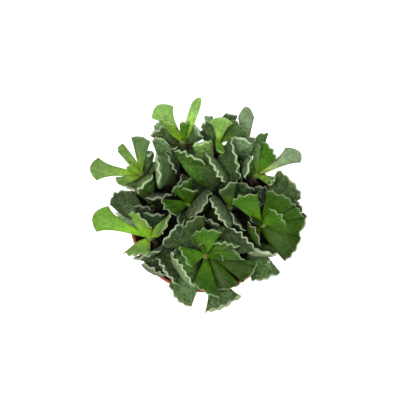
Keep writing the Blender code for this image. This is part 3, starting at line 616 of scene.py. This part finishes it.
def sample_balls(leaf):
    """Ball centres over a blade, their radii, and how far along the blade each lies."""
    u, v = np.meshgrid(np.linspace(-1, 1, BALLS_ACROSS), np.linspace(FIRST_BALL, 1, BALLS_ALONG))
    u, v = u.ravel(), v.ravel()
    radius = np.maximum(leaf.half_thickness(u, v), LEAST_BALL) + CLEARANCE / 2
    return leaf.point(u, v, MIDDLE), radius, v


def stem_balls():
    """Ball centres along every stem, with the number of the shoot each belongs to."""
    share = np.linspace(0, 1, STEM_BALLS)
    centres = [stem_point(shoot, share) for shoot in SHOOTS.values()]
    owner = np.repeat(np.arange(len(SHOOTS)), len(share))
    return np.concatenate(centres), owner


def open_out(grown):
    """Move leaves apart by small steps until their balls no longer meet."""
    leaves = [leaf for group in grown.values() for leaf in group]
    owner = np.repeat(np.arange(len(grown)), [len(group) for group in grown.values()])
    start, radius, along = map(np.array, zip(*[sample_balls(leaf) for leaf in leaves]))
    along = along[0]
    stems, stem_owner = stem_balls()
    shift = np.zeros((len(leaves), 3))
    first, second = np.triu_indices(len(leaves), 1)
    middle = start.mean(axis=1)
    near = np.linalg.norm(middle[first] - middle[second], axis=1) < NEIGHBOUR_REACH
    first, second = first[near], second[near]
    stiffness = np.array([1.0, 1.0, 1 / SIDEWAYS_SHARE])
    for _ in range(OPEN_STEPS):
        centre = start + shift[:, None, :] * along[None, :, None]
        push = np.zeros_like(shift)
        add_leaf_pushes(push, centre, radius, along, owner, first, second)
        add_fixed_pushes(push, centre, radius, along, owner, stems, stem_owner)
        shift = (shift + push * stiffness * SIDEWAYS_SHARE) * PULL_BACK
    for leaf, move in zip(leaves, shift):
        leaf.move(move)


def add_leaf_pushes(push, centre, radius, along, owner, first, second):
    """Part each pair of blades at the place where they overlap most."""
    for block in np.array_split(np.arange(len(first)), PAIR_BLOCKS):
        a, b = first[block], second[block]
        apart = centre[a][:, :, None, :] - centre[b][:, None, :, :]
        distance = np.linalg.norm(apart, axis=-1)
        overlap = radius[a][:, :, None] + radius[b][:, None, :] - distance
        rooted = (owner[a] == owner[b])[:, None, None]
        low = (along[:, None] < CROWDED) | (along[None, :] < CROWDED)
        overlap = np.where(rooted & low[None], APART, overlap)
        flat = overlap.reshape(len(block), -1)
        worst = flat.argmax(axis=1)
        depth = flat[np.arange(len(block)), worst]
        i, j = np.unravel_index(worst, (len(along), len(along)))
        direction = unit(apart[np.arange(len(block)), i, j] + [0, 0, UPWARD_BIAS])
        amount = np.clip(depth, 0, LONGEST_STEP)[:, None] * direction / 2
        np.add.at(push, a, amount / along[i][:, None])
        np.add.at(push, b, -amount / along[j][:, None])


def add_fixed_pushes(push, centre, radius, along, owner, stems, stem_owner):
    """Keep blades off the other stems, the pot's rim and the soil."""
    for number in range(len(centre)):
        others = stems[stem_owner != owner[number]]
        apart = centre[number][:, None, :] - others[None]
        distance = np.linalg.norm(apart, axis=-1)
        overlap = radius[number][:, None] + STEM_RADIUS - distance
        i, j = np.unravel_index(overlap.argmax(), overlap.shape)
        if overlap[i, j] > 0:
            push[number] += unit(apart[i, j]) * overlap[i, j] / along[i]
        sunk = ground_under(centre[number]) + radius[number] - centre[number][:, 2]
        deepest = sunk.argmax()
        if sunk[deepest] > 0:
            push[number, 2] += sunk[deepest] / along[deepest]


def ground_under(places):
    """The least height for a leaf over the soil, over the pot's rim or outside the pot."""
    reach = np.linalg.norm(places[:, :2], axis=1) - RIM_RADIUS
    ground = np.where(reach > 0, LOWEST_OUTSIDE, SOIL_TOP + SOIL_CLEARANCE)
    return np.where((reach > -RIM_INSIDE) & (reach < RIM_OUTSIDE), RIM_CLEARANCE, ground)


def fine_steps(leaf):
    """Places across a leaf, -1 to 1, close together at its two sides."""
    count = max(FEWEST_STEPS, leaf.columns * STEPS_PER_COLUMN)
    inner = np.linspace(-INNER_REACH, INNER_REACH, count)
    ends = np.array(SIDE_STEPS)
    return np.concatenate([-ends[::-1], inner, ends])


def fine_leaf(leaf, number):
    """Vertices, faces and per-vertex facts of one closed leaf with a rounded, waved lip."""
    u, v = np.meshgrid(fine_steps(leaf), np.array(FINE_ROWS))
    rows, columns = u.shape
    top = leaf.point(u, v, UPPER, drift=1).reshape(-1, 3)
    under = leaf.point(u, v, LOWER, drift=1).reshape(-1, 3)
    lip_u, end = u[-1], v[-1]
    _, _, _, forward = leaf.frame(end)
    lip = leaf.point(lip_u, end, MIDDLE, drift=1) + forward * LIP_ROUND
    points = np.concatenate([top, under, lip])
    facts = leaf_facts(leaf, u, v, lip_u, number)
    # Painted shade: the pale rim is dimmed on leaves that lie in shadow
    if leaf.tone in SHADED_TONES:
        facts["rim"] *= SHADED_RIM
    facts["tint"] = np.tile(colour_of(TONES[leaf.tone]), (len(points), 1))
    return points, leaf_faces(rows, columns), facts


def leaf_facts(leaf, u, v, lip_u, number):
    """Where each vertex lies on its leaf, and how pale its edge and underside are there."""
    across = np.concatenate([u.ravel(), u.ravel(), lip_u])
    share = np.concatenate([v.ravel(), v.ravel(), np.ones_like(lip_u)])
    under = np.concatenate([np.zeros(u.size), np.ones(u.size), np.full(len(lip_u), ON_LIP)])
    blade = np.stack([across * leaf.blade_width(share) / 2, share * leaf.length,
                      np.full(len(across), number * STREAK_APART)], axis=1)
    place = np.stack([share, under, np.zeros(len(across))], axis=1)
    inside = (1 - share) * leaf.length
    line = np.clip(1 - inside / RIM_FADE, 0, 1) * np.where(under == ON_LIP, 1.0, RIM_SIDES)
    wave = 1 + BAND_WAVE * np.sin(across * leaf.columns * BAND_TURN)
    wide = RIM_BAND.get(leaf.kind_name, 0.0) * wave
    band = BAND_STRENGTH * np.clip((wide - inside) / RIM_FADE, 0, 1)
    rim = RIM_STRENGTH[leaf.kind_name] * np.maximum(line, band)
    reverse = np.full(len(across), PALE_UNDERSIDE.get(leaf.kind_name, PLAIN_UNDERSIDE))
    return {"blade": blade, "place": place, "rim": rim, "reverse": reverse}


def leaf_faces(rows, columns):
    """Faces along the upper side, round the lip, back below and over the root."""
    upper = np.arange(rows * columns).reshape(rows, columns)
    lower = upper + rows * columns
    lip = np.arange(columns)[None] + 2 * rows * columns
    loop = np.concatenate([upper, lip, lower[::-1], upper[:1]])
    return quads(loop[:-1], loop[1:])


def quads(lower, upper):
    """Four-cornered faces between two rows of vertex numbers, or stacks of such rows."""
    corners = (lower[:, :-1], lower[:, 1:], upper[:, 1:], upper[:, :-1])
    return np.stack(corners, axis=-1).reshape(-1, 4)


def ring_faces(rings, sides):
    """Faces of a closed skin over a stack of rings, with one face at each end."""
    number = np.arange(rings * sides).reshape(rings, sides)
    wrapped = np.concatenate([number, number[:, :1]], axis=1)
    faces = quads(wrapped[:-1], wrapped[1:]).tolist()
    return [*faces, number[0][::-1].tolist(), number[-1].tolist()]


def turns(count):
    """Angles evenly spaced round a circle."""
    return np.linspace(0, 2 * math.pi, count, endpoint=False)


def add_object(name, data):
    thing = bpy.data.objects.new(name, data)
    bpy.context.scene.collection.objects.link(thing)
    return thing


def store_fact(mesh, name, values):
    kind, field = FACT_LAYERS[values.shape[1]]
    layer = mesh.attributes.new(name, kind, "POINT")
    layer.data.foreach_set(field, values.astype(np.float32).ravel())


class Mesh:
    """Gathers vertices (mm above the rim), faces, materials and vertex facts of one piece."""

    def __init__(self, name):
        self.name = name
        self.points, self.faces, self.slots, self.facts = [], [], [], {}
        self.count = 0

    def add(self, points, faces, slot, facts=None):
        points = np.asarray(points, float)
        self.faces.extend([corner + self.count for corner in face] for face in faces)
        self.slots.extend([slot] * len(faces))
        self.points.append(points)
        for name, width in FACT_WIDTHS.items():
            values = (facts or {}).get(name, np.zeros((len(points), width)))
            self.facts.setdefault(name, []).append(values.reshape(len(points), -1))
        self.count += len(points)

    def finish(self, materials):
        mesh = bpy.data.meshes.new(self.name)
        points = (np.concatenate(self.points) + [0, 0, POT_HEIGHT]) * MM
        mesh.from_pydata(points.tolist(), [], self.faces)
        for material in materials:
            mesh.materials.append(material)
        mesh.polygons.foreach_set("material_index", self.slots)
        for name, parts in self.facts.items():
            store_fact(mesh, name, np.concatenate(parts))
        mesh.validate()
        mesh.shade_smooth()
        return add_object(self.name, mesh)


def tube(centres, radii, sides):
    """Vertices and faces of a tube along centres, closed at both ends."""
    centres, radii = np.asarray(centres, float), np.asarray(radii, float)
    along = unit(np.gradient(centres, axis=0))
    across = unit(np.cross(along, TUBE_SIDE))
    third = np.cross(along, across)
    turn = turns(sides)
    ring = across[:, None] * np.cos(turn)[:, None] + third[:, None] * np.sin(turn)[:, None]
    points = centres[:, None] + ring * radii[:, None, None]
    return points.reshape(-1, 3), ring_faces(len(centres), sides)


def colour_of(screen_colour):
    """Screen values of 255 to the linear values that shaders take, by the sRGB curve."""
    linear = [(part / 255 / 12.92) if part <= 10 else ((part / 255 + 0.055) / 1.055) ** 2.4
              for part in screen_colour]
    return (*linear, 1.0)


class Nodes:
    """Short ways to add and join the shader nodes of one material."""

    def __init__(self, name, **sockets):
        self.material = bpy.data.materials.new(name)
        self.material.use_nodes = True
        self.tree = self.material.node_tree
        self.shader = self.tree.nodes["Principled BSDF"]
        for socket, value in sockets.items():
            self.shader.inputs[socket.replace("_", " ")].default_value = value

    def add(self, kind, *values, **settings):
        """A new node with these settings, and these values or links in its first sockets."""
        node = self.tree.nodes.new(kind)
        for name, value in settings.items():
            setattr(node, name, value)
        for socket, value in zip(node.inputs, values):
            self.feed(socket, value)
        return node

    def feed(self, socket, value):
        """Join a socket to an output, or set it to a plain value."""
        if isinstance(value, bpy.types.NodeSocket):
            self.tree.links.new(value, socket)
        else:
            socket.default_value = value

    def fact(self, name, output):
        return self.add("ShaderNodeAttribute", attribute_name=name).outputs[output]

    def split(self, vector):
        return self.add("ShaderNodeSeparateXYZ", vector).outputs

    def math(self, operation, first, second):
        return self.add("ShaderNodeMath", first, second, operation=operation).outputs[0]

    def stretch(self, vector, scale):
        return self.add("ShaderNodeVectorMath", vector, scale, operation="MULTIPLY").outputs[0]

    def place(self):
        return self.add("ShaderNodeTexCoord").outputs["Object"]

    def noise(self, pattern, place=None):
        """Noise over the object, or over another place."""
        node = self.add("ShaderNodeTexNoise", self.place() if place is None else place)
        for socket, number in zip(("Scale", "Detail"), PATTERNS[pattern]):
            node.inputs[socket].default_value = number
        return node.outputs["Fac"]

    def between(self, value, change, to_low=0.0, to_high=1.0):
        """Smooth change from to_low to to_high while the value crosses a range."""
        return self.add("ShaderNodeMapRange", value, *RANGES[change], to_low, to_high,
                        interpolation_type="SMOOTHSTEP").outputs["Result"]

    def mix(self, share, first, second):
        node = self.add("ShaderNodeMix", share, data_type="RGBA")
        self.feed(node.inputs[6], first)
        self.feed(node.inputs[7], second)
        return node.outputs[2]

    def shade(self, colour, value, change, darkest, lightest):
        """Multiply a colour by darkest to lightest over a change."""
        node = self.add("ShaderNodeVectorMath", colour, operation="SCALE")
        self.feed(node.inputs["Scale"], self.between(value, change, darkest, lightest))
        return node.outputs[0]

    def paint(self, colour):
        self.feed(self.shader.inputs["Base Color"], colour)

    def bump(self, height, name):
        node = self.add("ShaderNodeBump")
        self.feed(node.inputs["Height"], height)
        node.inputs["Distance"].default_value = BUMPS[name] * MM
        self.feed(self.shader.inputs["Normal"], node.outputs[0])


def leaf_material(name, roughness, shine, speckle, mottle, streak, petiole, painted_root_shade,
                  painted_tip_shade, velvet):
    """Leaf skin: its own tone, mottled, with a paler petiole, underside and rim; painted shade darkens it
    towards the root and the tip, with painted light in the middle.
    """
    looks = Nodes(name, Roughness=roughness, Specular_IOR_Level=shine)
    share, under, _ = looks.split(looks.fact("place", "Vector"))
    grain = looks.noise("leaf grain")
    patches = looks.noise("patches")
    broad = looks.noise("broad")
    blade = looks.stretch(looks.fact("blade", "Vector"), STREAK_STRETCH)
    streaks = looks.noise("streaks", blade)
    bloom = looks.between(grain, "bloom", 0.0, speckle)
    skin = looks.mix(bloom, looks.fact("tint", "Color"), colour_of(BLOOM))
    skin = looks.shade(skin, patches, "patches", 1 - mottle, 1 + mottle)
    skin = looks.shade(skin, broad, "middle", 1 - mottle / 2, 1 + mottle / 2)
    skin = looks.shade(skin, streaks, "wide", 1 - streak, 1 + streak)
    # Painted shade: darker towards the root, where the leaves around it shade it
    skin = looks.shade(skin, share, "root", painted_root_shade, 1.0)
    # Painted light in the middle of the blade and painted shade towards its tip
    skin = looks.shade(skin, share, "tip", PAINTED_MID_LIGHT, painted_tip_shade)
    paler = looks.math("MULTIPLY", looks.between(share, "petiole", 1.0, 0.0), petiole)
    skin = looks.mix(paler, skin, looks.stretch(skin, PETIOLE))
    paler = looks.math("MULTIPLY", looks.between(share, "underside"), under)
    paler = looks.math("MULTIPLY", paler, looks.fact("reverse", "Fac"))
    skin = looks.mix(paler, skin, colour_of(UNDERSIDE))
    looks.paint(looks.mix(looks.fact("rim", "Fac"), skin, colour_of(RIM_COLOUR)))
    looks.bump(looks.math("ADD", looks.math("MULTIPLY", grain, velvet), broad), "leaf")
    return looks.material


def stem_material():
    """Dark brown bark that turns green with orange-brown patches at the crown."""
    looks = Nodes("stem_bark", Roughness=0.7)
    height = looks.split(looks.fact("place", "Vector"))[0]
    patches = looks.between(looks.noise("crown patches"), "crown patches")
    grain = looks.noise("bark grain")
    crown = looks.mix(patches, *map(colour_of, CROWN_COLOURS))
    bark = looks.mix(looks.between(height, "crown"), colour_of(BARK_COLOUR), crown)
    looks.paint(looks.shade(bark, grain, "wide", *BARK_SHADES))
    looks.bump(grain, "bark")
    return looks.material


def hair_material():
    """Reddish-brown aerial roots, paler in places."""
    looks = Nodes("aerial_hairs", Roughness=0.6)
    change = looks.between(looks.noise("hairs"), "wide")
    looks.paint(looks.mix(change, *map(colour_of, HAIR_COLOURS)))
    return looks.material


def soil_material():
    """Dark moist potting mix, darkened further to near black as painted shade for the gaps between
    leaves, with lighter fibres and crumbs.
    """
    looks = Nodes("soil_crumb", Roughness=0.95, Specular_IOR_Level=0.2)
    grain = looks.noise("soil grain")
    broad = looks.noise("soil broad")
    soil = looks.mix(looks.between(broad, "middle"), *map(colour_of, SOIL_AND_GAP_SHADE_COLOURS))
    soil = looks.shade(soil, grain, "soil grain", *SOIL_SHADES)
    looks.paint(looks.mix(looks.between(grain, "fibres"), soil, colour_of(FIBRE_COLOUR)))
    looks.bump(grain, "soil")
    return looks.material


def perlite_material():
    """Dull white perlite with dirt in its pores."""
    looks = Nodes("perlite", Roughness=0.9)
    pores = looks.noise("pores")
    looks.paint(looks.mix(looks.between(pores, "pores"), *map(colour_of, PERLITE_COLOURS)))
    looks.bump(pores, "perlite")
    return looks.material


def pot_material():
    """Moulded terracotta-coloured plastic with faint flow streaks, scuffs and dust."""
    looks = Nodes("pot_plastic", IOR=1.48)
    flow = looks.noise("pot flow", looks.stretch(looks.place(), FLOW_STRETCH))
    grain = looks.noise("pot grain")
    scuffs = looks.noise("scuffs", looks.stretch(looks.place(), SCUFF_STRETCH))
    plastic = looks.mix(looks.between(flow, "wide"), *map(colour_of, POT_COLOURS))
    worn = looks.between(scuffs, "scuffs", 0.0, SCUFF_STRENGTH)
    looks.paint(looks.mix(worn, plastic, colour_of(SCUFF_COLOUR)))
    roughness = looks.between(scuffs, "pot gloss", *POT_ROUGHNESS)
    looks.feed(looks.shader.inputs["Roughness"], roughness)
    looks.bump(looks.math("ADD", grain, looks.math("MULTIPLY", scuffs, SCUFF_DEPTH)), "pot")
    return looks.material


def floor_material():
    looks = Nodes("floor_paper", Roughness=0.9, Specular_IOR_Level=0.1, Emission_Color=WHITE,
                  Emission_Strength=FLOOR_GLOW)
    looks.paint(looks.mix(looks.noise("floor"), *FLOOR_COLOURS))
    return looks.material


def weld(thing):
    """Join the two faces of each leaf along its sides."""
    bm = bmesh.new()
    bm.from_mesh(thing.data)
    bmesh.ops.remove_doubles(bm, verts=bm.verts, dist=WELD)
    bm.to_mesh(thing.data)
    bm.free()


def add_stem(piece, shoot):
    """The stem from its foot to a blunt crown, ringed where old leaves fell."""
    share = np.linspace(0, 1, STEM_RINGS)
    centres = stem_point(shoot, share)
    centres = [centres[0] - [0, 0, STEM_DEPTH - SOIL_GAP], *centres,
               centres[-1] + [0, 0, CROWN_TOP]]
    radii = STEM_RADIUS * np.interp(share, *STEM_TAPER)
    radii = radii * (1 + STEM_RIDGE * np.sin(share * STEM_RINGS * RIDGE_TURN))
    radii = [STEM_RADIUS, *radii, STEM_RADIUS * CROWN_TIP]
    points, faces = tube(centres, radii, STEM_SIDES)
    height = np.repeat([0.0, *share, 1.0], STEM_SIDES)
    piece.add(points, faces, BARK, {"place": np.stack([height] * 3, axis=1)})


def add_hairs(piece, shoot, chance):
    """Fine aerial roots that curl out of the stem and down."""
    step = np.linspace(0, 1, HAIR_RINGS)[:, None]
    for _ in range(HAIRS):
        turn = chance.uniform(0, 2 * math.pi)
        out = np.array([math.cos(turn), math.sin(turn), chance.uniform(*HAIR_RISES)])
        bend = np.array([-out[1], out[0], HAIR_SAG]) * chance.uniform(*HAIR_BENDS)
        start = stem_point(shoot, chance.uniform(*HAIR_SHARES)) + out * STEM_RADIUS * HAIR_ROOT
        length = chance.uniform(*HAIR_LENGTHS)
        centres = start + (out * step + bend * step ** 2) * length
        radii = np.linspace(HAIR_RADIUS, HAIR_RADIUS * HAIR_TIP, HAIR_RINGS)
        piece.add(*tube(centres, radii, HAIR_SIDES), HAIR)


def build_shoot(name, shoot, leaves, materials, chance):
    piece = Mesh(name + "_leaves")
    for number, leaf in enumerate(leaves):
        young = leaf.kind_name in YOUNG_KINDS or leaf.tone in YOUNG_TONES
        points, faces, facts = fine_leaf(leaf, number)
        piece.add(points, faces.tolist(), YOUNG if young else MATURE, facts)
    add_stem(piece, shoot)
    add_hairs(piece, shoot, chance)
    thing = piece.finish(materials)
    weld(thing)
    attach(thing, name)


def attach(thing, node):
    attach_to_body(thing, "root")
    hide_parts(node)


def slope_of_pot():
    return (RIM_RADIUS - RIM_LIP - FOOT_RADIUS) / (POT_HEIGHT - RIM_BAND_HEIGHT)


def soil_radius(height):
    """Inner radius of the pot at a height above the ground, less twice the gap to the soil."""
    return FOOT_RADIUS - POT_WALL + slope_of_pot() * height - SOIL_GAP * 2


def soil_height(x, y):
    """Gentle lumps and fine crumb on the soil's top, in mm above the rim."""
    across, along, slant = LUMP_RATES
    lumps = math.sin(across * x + LUMP_TURNS[0]) * math.cos(along * y + LUMP_TURNS[1])
    lumps += SLANT_LUMPS * math.sin(slant * (x - y))
    crumb = noise.fractal(Vector((x, y, 0.0)) * CRUMB_SCALE, *CRUMB_NOISE)
    return SOIL_TOP + SOIL_BUMP * lumps + CRUMB_RISE * crumb


def build_soil(materials, chance):
    """Crumbly potting mix with loose crumbs and a few perlite grains on top."""
    piece = Mesh("soil_crumb")
    ring = [(math.cos(turn), math.sin(turn)) for turn in turns(SOIL_SIDES)]
    floor = POT_FLOOR + SOIL_GAP
    foot, edge = soil_radius(floor), soil_radius(POT_HEIGHT + SOIL_TOP) - SOIL_INSET
    points = [(foot * x, foot * y, floor - POT_HEIGHT) for x, y in ring]
    for radius in np.linspace(edge, CENTRE_RING, SOIL_RINGS):
        places = [(radius * x, radius * y) for x, y in ring]
        points += [(x, y, soil_height(x, y)) for x, y in places]
    piece.add(points, ring_faces(1 + SOIL_RINGS, SOIL_SIDES), CRUMB)
    for _ in range(CRUMBS):
        add_grain(piece, soil_spot(chance, edge), chance.uniform(*CRUMB_SIZES), CRUMB, chance)
    add_grain(piece, PERLITE_SEEN, max(PERLITE_SIZES), PERLITE, chance)
    for _ in range(PERLITE_MORE):
        add_grain(piece, soil_spot(chance, edge), chance.uniform(*PERLITE_SIZES), PERLITE, chance)
    attach(piece.finish(materials), "soil")


def soil_spot(chance, edge):
    """A random place on the soil, even over its area."""
    turn = chance.uniform(0, 2 * math.pi)
    radius = (edge - GRAIN_INSET) * math.sqrt(chance.random())
    return radius * math.cos(turn), radius * math.sin(turn)


def add_grain(piece, place, size, slot, chance):
    """An irregular grain, half sunk in the soil."""
    ball = bmesh.new()
    bmesh.ops.create_icosphere(ball, subdivisions=GRAIN_DETAIL[slot], radius=1.0)
    points = np.array([vert.co for vert in ball.verts])
    faces = [[vert.index for vert in face.verts] for face in ball.faces]
    ball.free()
    uneven = 1 + GRAIN_UNEVEN * np.sin(points @ GRAIN_WAVE + chance.uniform(*GRAIN_STARTS))
    stretch = [chance.uniform(*limits) for limits in GRAIN_STRETCH]
    centre = [*place, soil_height(*place) + size * GRAIN_RISE]
    piece.add(points * uneven * stretch * size / 2 + centre, faces, slot)


def rounded(radius, height, steps):
    """Points of a rounded corner, as steps from where its sharp corner would be."""
    return [(radius + out, height + up) for out, up in steps]


def pot_profile():
    """Radius and height of the pot's section, up the outside, over the rim and down inside."""
    slope, band_low = slope_of_pot(), POT_HEIGHT - RIM_BAND_HEIGHT
    foot, lip = FOOT_RADIUS, RIM_RADIUS - RIM_LIP
    wall = [(foot + slope * z, z) for z in np.linspace(WALL_START, band_low, WALL_RINGS)]
    out, up = INSIDE_STEP
    inside = [(lip + out - POT_WALL, band_low + up),
              (foot - POT_WALL + slope * POT_FLOOR, POT_FLOOR)]
    return (rounded(foot, 0.0, FOOT_EDGE) + wall + rounded(lip, band_low, BAND_EDGE)
            + rounded(RIM_RADIUS, POT_HEIGHT, RIM_EDGE) + rounded(lip, POT_HEIGHT, LIP_EDGE)
            + inside)


def build_pot(material):
    """The turned plastic pot with round drain holes in its floor."""
    bm = bmesh.new()
    profile = pot_profile()
    verts = [bm.verts.new((r * MM * math.cos(turn), r * MM * math.sin(turn), z * MM))
             for r, z in profile for turn in turns(POT_SIDES)]
    for face in ring_faces(len(profile), POT_SIDES):
        bm.faces.new([verts[number] for number in face])
    pot = object_from(bm, "pot_moulded")
    pot.data.materials.append(material)
    cut_drains(pot)
    pot.data.shade_smooth()
    pot.data.set_sharp_from_angle(angle=math.radians(SHARP_ANGLE))
    attach(pot, "pot")


def object_from(bm, name):
    mesh = bpy.data.meshes.new(name)
    bm.to_mesh(mesh)
    bm.free()
    return add_object(name, mesh)


def cut_drains(pot):
    """Cut the ring of drain holes through the pot's floor."""
    cutter = bmesh.new()
    for turn in turns(DRAIN_COUNT):
        made = bmesh.ops.create_cone(cutter, cap_ends=True, segments=DRAIN_SIDES,
                                     radius1=DRAIN_RADIUS * MM, radius2=DRAIN_RADIUS * MM,
                                     depth=(POT_FLOOR + DRAIN_OVERCUT) * MM)
        middle = (DRAIN_CIRCLE * math.cos(turn) * MM, DRAIN_CIRCLE * math.sin(turn) * MM,
                  POT_FLOOR / 2 * MM)
        bmesh.ops.translate(cutter, verts=made["verts"], vec=middle)
    cutter = object_from(cutter, "drain_cutter")
    cut = pot.modifiers.new("Drains", "BOOLEAN")
    cut.operation, cut.solver, cut.object = "DIFFERENCE", "EXACT", cutter
    graph = bpy.context.evaluated_depsgraph_get()
    drilled = bpy.data.meshes.new_from_object(pot.evaluated_get(graph))
    pot.modifiers.clear()
    pot.data = drilled
    bpy.data.objects.remove(cutter)


def build_floor():
    bm = bmesh.new()
    bmesh.ops.create_grid(bm, x_segments=1, y_segments=1, size=FLOOR_HALF)
    floor = object_from(bm, "floor")
    floor.location.z = -FLOOR_DROP
    floor.data.materials.append(floor_material())


def add_area_light(name, place, size, power):
    """A soft square light that faces the plant."""
    data = bpy.data.lights.new(name, "AREA")
    data.size, data.energy = size, power
    light = add_object(name, data)
    light.location = place
    aim = Vector((0, 0, POT_HEIGHT * MM)) - Vector(place)
    light.rotation_euler = aim.to_track_quat("-Z", "Y").to_euler()


def light_scene():
    world = bpy.data.worlds.new("studio")
    bpy.context.scene.world = world
    world.use_nodes = True
    background = world.node_tree.nodes["Background"]
    background.inputs["Color"].default_value = WHITE
    background.inputs["Strength"].default_value = AMBIENT
    for light in LIGHTS:
        add_area_light(*light)
    bpy.context.scene.view_settings.view_transform = "Standard"


def place_camera():
    """Straight above the pot, with the photo's frame and scale."""
    data = bpy.data.cameras.new("camera")
    data.sensor_fit, data.sensor_width = "HORIZONTAL", SENSOR_WIDTH
    data.lens = SENSOR_WIDTH * CAMERA_RISE / (MM_PER_PIXEL * PIXELS)
    camera = add_object("camera", data)
    x, y = CAMERA_PLACE
    camera.location = (x * MM, y * MM, (POT_HEIGHT + CAMERA_RISE) * MM)
    bpy.context.scene.camera = camera


def main():
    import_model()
    chance = random.Random(SEED)
    place_camera()
    light_scene()
    build_floor()
    build_pot(pot_material())
    build_soil([soil_material(), perlite_material()], chance)
    materials = [leaf_material(**MATURE_SKIN), leaf_material(**YOUNG_SKIN), stem_material(),
                 hair_material()]
    grown = all_leaves()
    for name, shoot in SHOOTS.items():
        build_shoot(name, shoot, grown[name], materials, chance)


main()
